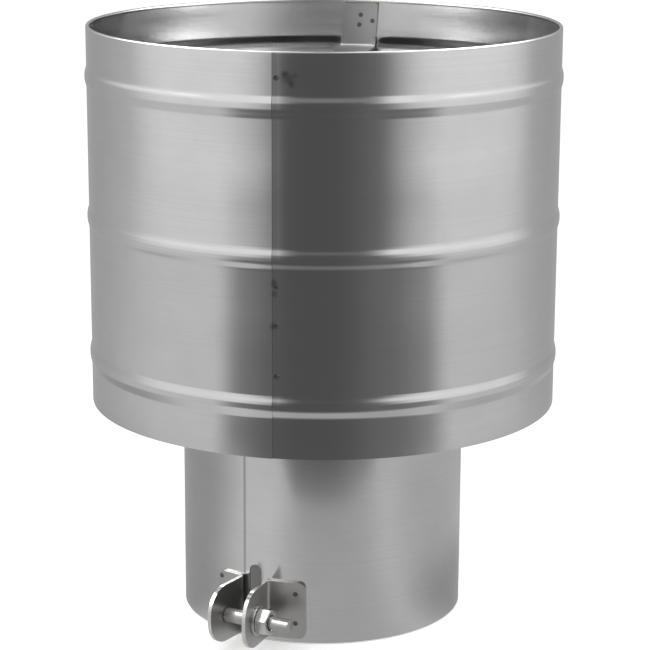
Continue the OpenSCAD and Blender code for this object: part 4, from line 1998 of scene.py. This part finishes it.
@dataclass
class Studio:
    """A pale floor, soft light, and the cards that a photographer sets round bright metal."""

    camera: PhotoCamera = PhotoCamera()
    paint: CardPaint = CardPaint()
    lamps: tuple[SoftLamp, ...] = (
        SoftLamp("key", (-1.2, -1.3, 1.9), 16.0),
        SoftLamp("fill", (1.5, -0.9, 1.6), 10.0),
    )
    lamp_target: tuple[float, float, float] = (0.0, 0.0, 0.15)
    # Strength of the world as a light; as a background it has 1
    world_share: float = 0.7
    floor_half: float = 4.0
    # The dark tone is painted shade for the floor inside the flue
    floor_tones: tuple[str, str] = ("#5A5A5A", "#EDEDED")
    floor_roughness: float = 0.7
    floor_specular: float = 0.2
    floor_glow: float = 0.40
    flue_radius: float = 0.0752
    # Share of the floor's tone and glow that stays inside the flue, where the floor is painted dark as shade
    flue_light: float = 0.3
    card_lift: float = 0.0006
    table_radius: float = 0.5
    wall: float = 2.3
    wall_top: float = 1.6
    wall_flare: float = 0.02
    ceiling: float = 2.4
    card_count: int = 120

    def _floor(self) -> Piece:
        """Lay the pale floor. It is white in the picture and keeps the object's shadow.

        Returns:
            The floor.
        """
        s = self.floor_half
        floor = solid("floor", [(-s, -s, 0), (s, -s, 0), (s, s, 0), (-s, s, 0)], [(0, 1, 2, 3)])
        mat, tree, shader = new_material("white_lacquered_board")
        # Inside the flue the floor is painted darker in tone and in glow, as painted shade
        place = add_node(tree, "ShaderNodeTexCoord").outputs["Object"]
        away = add_node(tree, "ShaderNodeVectorMath", {0: place}, operation="LENGTH").outputs["Value"]
        edge = {0: away, 1: self.flue_radius, 2: self.flue_radius + 1 * MM, 3: self.flue_light, 4: 1.0}
        flue_shade_factor = add_node(tree, "ShaderNodeMapRange", edge).outputs[0]
        dark, pale = (linear(tone) for tone in self.floor_tones)
        paint = add_node(tree, "ShaderNodeMix", {0: flue_shade_factor, 6: dark, 7: pale}, data_type="RGBA")
        tree.links.new(paint.outputs[2], shader.inputs["Base Color"])
        shader.inputs["Roughness"].default_value = self.floor_roughness
        shader.inputs["Specular IOR Level"].default_value = self.floor_specular
        seen = {0: background_rays(tree), 1: self.floor_glow}
        shown = add_node(tree, "ShaderNodeMath", seen, operation="MULTIPLY").outputs[0]
        glow = add_node(tree, "ShaderNodeMath", {0: shown, 1: flue_shade_factor}, operation="MULTIPLY").outputs[0]
        shader.inputs["Emission Color"].default_value = linear("#FFFFFF")
        tree.links.new(glow, shader.inputs["Emission Strength"])
        floor.data.materials.append(mat)
        return floor

    def _cards(self) -> Piece:
        """Set the bowl of toned cards that only shows in the metal.

        Returns:
            The bowl.
        """
        profile = [
            (0.001, self.card_lift),
            (self.flue_radius, self.card_lift),
            (self.table_radius, self.card_lift),
            (self.wall, self.card_lift),
            (self.wall + self.wall_flare, self.wall_top),
            (self.wall / 2, self.ceiling),
            (0.01, self.ceiling),
        ]
        count = self.card_count
        verts = [polar(r, 360 * k / count, z) for r, z in profile for k in range(count)]
        cards = solid("toned_cards", verts, ring_faces(len(profile), count))
        cards.data.materials.append(self.paint.build())
        cards.visible_camera = False
        cards.visible_diffuse = False
        cards.visible_shadow = False
        cards.visible_transmission = False
        return cards

    def _world(self) -> None:
        """Set a plain white world that lights the pieces less than it shows."""
        world = bpy.data.worlds.new("studio")
        bpy.context.scene.world = world
        world.use_nodes = True
        tree = world.node_tree
        tree.nodes.clear()
        share = {0: background_rays(tree), 1: 0.0, 2: 1.0, 3: self.world_share, 4: 1.0}
        strength = add_node(tree, "ShaderNodeMapRange", share).outputs[0]
        glow = add_node(tree, "ShaderNodeBackground", {0: linear("#FFFFFF"), 1: strength})
        add_node(tree, "ShaderNodeOutputWorld", {0: glow.outputs[0]})

    def build(self) -> None:
        """Build the studio."""
        bpy.context.scene.view_settings.view_transform = "Standard"
        self.camera.build()
        for lamp in self.lamps:
            lamp.build(Vector(self.lamp_target))
        self._world()
        self._floor()
        self._cards()


# The cowl


@dataclass
class Cowl:
    """The whole cowl and its places in the frame."""

    spigot: FlueSpigot = field(default_factory=FlueSpigot)
    drum: Drum = field(default_factory=Drum)
    disc: RainDisc = field(default_factory=RainDisc)
    strips: StripSet = field(default_factory=StripSet)
    clamp: Clamp = field(default_factory=Clamp)
    welds: SpotWelds = field(default_factory=SpotWelds)
    # The seam's welds: distances below the rim in mm, distance beside the seam, and height over the wall
    seam_spots: tuple[float, ...] = (12.7, 114.4, 133.9, 159.3)
    seam_shift: float = 2.0 * MM
    seam_lift: float = 0.1 * MM
    # Heat tints: distance from the seam and below the rim in mm, reach in mm, strength
    tints: tuple[tuple[float, float, float, float], ...] = (
        (2.2, 12.7, 1.8, 0.4),
        (7.6, 12.6, 4.4, 0.42),
        (6.2, 10.6, 2.4, 0.4),
        (9.4, 15.6, 2.6, 0.4),
        (11.0, 11.2, 2.0, 0.25),
        (0.8, 112.8, 2.8, 0.45),
        (1.2, 117.8, 2.4, 0.35),
        (0.4, 133.9, 2.6, 0.5),
        (2.0, 159.3, 2.4, 0.45),
    )
    # Half the width and the strength of the line at the tube's seam
    tube_seam: tuple[float, float] = (1.1 * MM, 0.4)
    # Strap welds: distance from the strap's middle and below its top, in mm
    strap_spots: tuple[tuple[float, float], ...] = ((0.0, 6.8), (0.8, 12.5), (-6.8, 10.1))
    # Lug welds: side, distance from the ear and two heights above the foot, in mm
    lug_spots: tuple[tuple[int, float, float, float], ...] = (
        (-1, 13.8, 8.6, 28.0),
        (1, 16.0, 8.6, 24.8),
    )
    # Where a weld lies, as a share of a strap's reach over the disc or of a bracket's leg
    weld_share: float = 0.6
    strip_turns: tuple[int, ...] = (0, 120, 240)

    def seat(self, piece: Piece, body: str, slot: str, *nodes: str) -> None:
        """Let a piece ride on its body and stand for its CAD nodes.

        Args:
            piece: The piece.
            body: Name of its body.
            slot: Not used.
            *nodes: CAD nodes that it stands for.
        """
        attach(piece, body)
        if nodes:
            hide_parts(*nodes)
        LOG.info("%s rides on %s with %d faces", piece.name, body, len(piece.data.polygons))

    def _drum_finish(self) -> RolledStainless:
        """Choose the drum's finish, with the heat tints beside its lap.

        Returns:
            The finish.
        """
        tints = []
        for along, down, size, strength in self.tints:
            azimuth = self.drum.seam_azimuth + arc_deg(along * MM, self.drum.radius)
            centre = polar(self.drum.radius, azimuth, self.drum.rim - down * MM)
            tints.append(HeatTint(tuple(centre), size * MM, strength))
        return RolledStainless("rolled_stainless_drum", marks=tuple(tints))

    def build(self) -> None:
        """Build every sub-assembly in order and seat it."""
        roller = RollingTree()
        weld_line = SeamLine(self.spigot.seam_azimuth, *self.tube_seam)
        tube = RolledStainless("rolled_stainless_tube", marks=(weld_line,))
        self.seat(self.spigot.build(tube), COWL, "spigot_sheet", "flue_spigot")
        # The inner face keeps the mill's duller skin
        inside = RolledStainless("mill_finish_stainless", roughness=0.22)
        self.seat(self.drum.build(roller, self._drum_finish(), inside), COWL, "drum_sheet", "drum_shell")
        # The disc's sheet is painted lighter than the drum's, as a painted highlight of the light that falls
        # on its top
        disc = RolledStainless("rolled_stainless_disc", colour="#EAEAEA", roughness=0.26, grain=Grain.NONE)
        self.seat(self.disc.build(disc), COWL, "disc_sheet", "rain_disc")
        thick = {"grain_depth": 0.006, "wave_depth": 0.02}
        upright = {"colour": "#B6B6B6", "roughness": 0.3, "grain": Grain.UPRIGHT}
        straps, brackets = self.strips.build(RolledStainless("bent_stainless_strip", **upright, **thick))
        strap_nodes = [f"disc_strap_{place}" for place in ("rear", "left", "right")]
        bracket_nodes = [f"drum_bracket_{place}" for place in ("front", "left", "right")]
        self.seat(straps, COWL, "strip_steel", *strap_nodes)
        self.seat(brackets, COWL, "strip_steel", *bracket_nodes)
        # The plate is painted darker than the tube's sheet of the same steel, as painted shade on the ears
        # and between them
        even = {"colour": "#B2B1B0", "roughness": 0.36, "grain": Grain.NONE}
        plate = RolledStainless("laser_cut_stainless_plate", **even, **thick)
        bodies = {"clamp_bolt": BOLT, "head": BOLT, "nut_washer": WASHER, "clamp_nut": NUT}
        bright = TurnedFastener("bright_stainless_fastener")
        rolled = TurnedFastener("thread_rolled_stainless_bolt", colour="#B4B4B2", roughness=0.26)
        for node, piece in self.clamp.build(plate, bright, rolled).items():
            slot = "lug_plate" if "lug" in node else "zinc_hardware"
            nodes = () if node == "head" else (node,)
            self.seat(piece, bodies.get(node, COWL), slot, *nodes)
        self._weld_sets()

    def _strap_spots(self, face: float) -> tuple[list[Spot], list[Spot]]:
        """Place the straps' welds.

        Args:
            face: Radius of the strips' face inside the drum.

        Returns:
            The welds on the wall, and those on the disc.
        """
        strips = self.strips
        shift = (strips.strap_top - strips.disc_top) * math.tan(math.radians(strips.strap_lean))
        inward = self.weld_share * strips.strap_reach - strips.disc_radius
        wall, disc = [], []
        for turn in self.strip_turns:
            for along, down in self.strap_spots:
                azimuth = strips.strap_azimuth + turn + arc_deg(along * MM, face)
                wall.append((polar(face, azimuth, strips.strap_top - down * MM), -out(azimuth)))
            for side in (-1, 1):
                spot = Vector((side * strips.width / 4 + shift, inward, 0))
                spot.rotate(Matrix.Rotation(math.radians(strips.strap_azimuth + turn), 3, "Z"))
                disc.append((spot + UP * (strips.disc_top + strips.strip), UP))
        return wall, disc

    def _bracket_spots(self, face: float) -> list[Spot]:
        """Place the brackets' welds.

        Args:
            face: Radius of the strips' face inside the drum.

        Returns:
            The welds on the spigot and on the drum.
        """
        strips = self.strips
        first = strips.strap_azimuth + strips.bracket_turn
        height = strips.bracket_z + self.weld_share * strips.bracket_leg
        spots = []
        for turn in self.strip_turns:
            for side in (-1, 1):
                for radius, sign in ((strips.spigot + strips.strip, 1), (face, -1)):
                    azimuth = first + turn + arc_deg(side * strips.width / 4, radius)
                    spots.append((polar(radius, azimuth, height), sign * out(azimuth)))
        return spots

    def _lug_spots(self) -> list[Spot]:
        """Place the lugs' welds.

        Returns:
            The welds.
        """
        clamp = self.clamp
        radius = clamp.spigot + clamp.plate
        spots = []
        for side, along, *ups in self.lug_spots:
            azimuth = clamp.azimuth + side * (clamp.splay + arc_deg(along * MM, radius))
            spots += [(polar(radius, azimuth, clamp.foot + up * MM), out(azimuth)) for up in ups]
        return spots

    def _weld_sets(self) -> None:
        """Build the five sets of weld marks."""
        oxide = SpotWeldTint().build()
        drum = self.drum
        azimuth = drum.seam_azimuth + arc_deg(self.seam_shift, drum.radius)
        at = drum.radius + self.seam_lift
        seam = [(polar(at, azimuth, drum.rim - down * MM), out(azimuth)) for down in self.seam_spots]
        face = self.strips.drum_bore - self.strips.strip
        wall, disc = self._strap_spots(face)
        for name, spots, node in (
            ("weld_marks_seam", seam, "drum_seam_welds"),
            ("weld_marks_wall", wall, "strap_wall_welds"),
            ("weld_marks_disc", disc, "strap_disc_welds"),
            ("weld_marks_brackets", self._bracket_spots(face), "bracket_welds"),
            ("weld_marks_lugs", self._lug_spots(), "lug_welds"),
        ):
            self.seat(self.welds.build(name, spots, oxide), COWL, "weld_marks", node)


def main() -> None:
    """Build the studio and the cowl."""
    logging.basicConfig(level=logging.INFO, format="%(name)s: %(message)s")
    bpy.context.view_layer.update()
    for name in ("Cube", "Light", "Camera"):
        spare = bpy.data.objects.get(name)
        if spare is not None:
            bpy.data.objects.remove(spare)
    Studio().build()
    Cowl().build()
    bpy.context.view_layer.update()
    LOG.info("the looks are done")


if __name__ == "__main__":
    main()
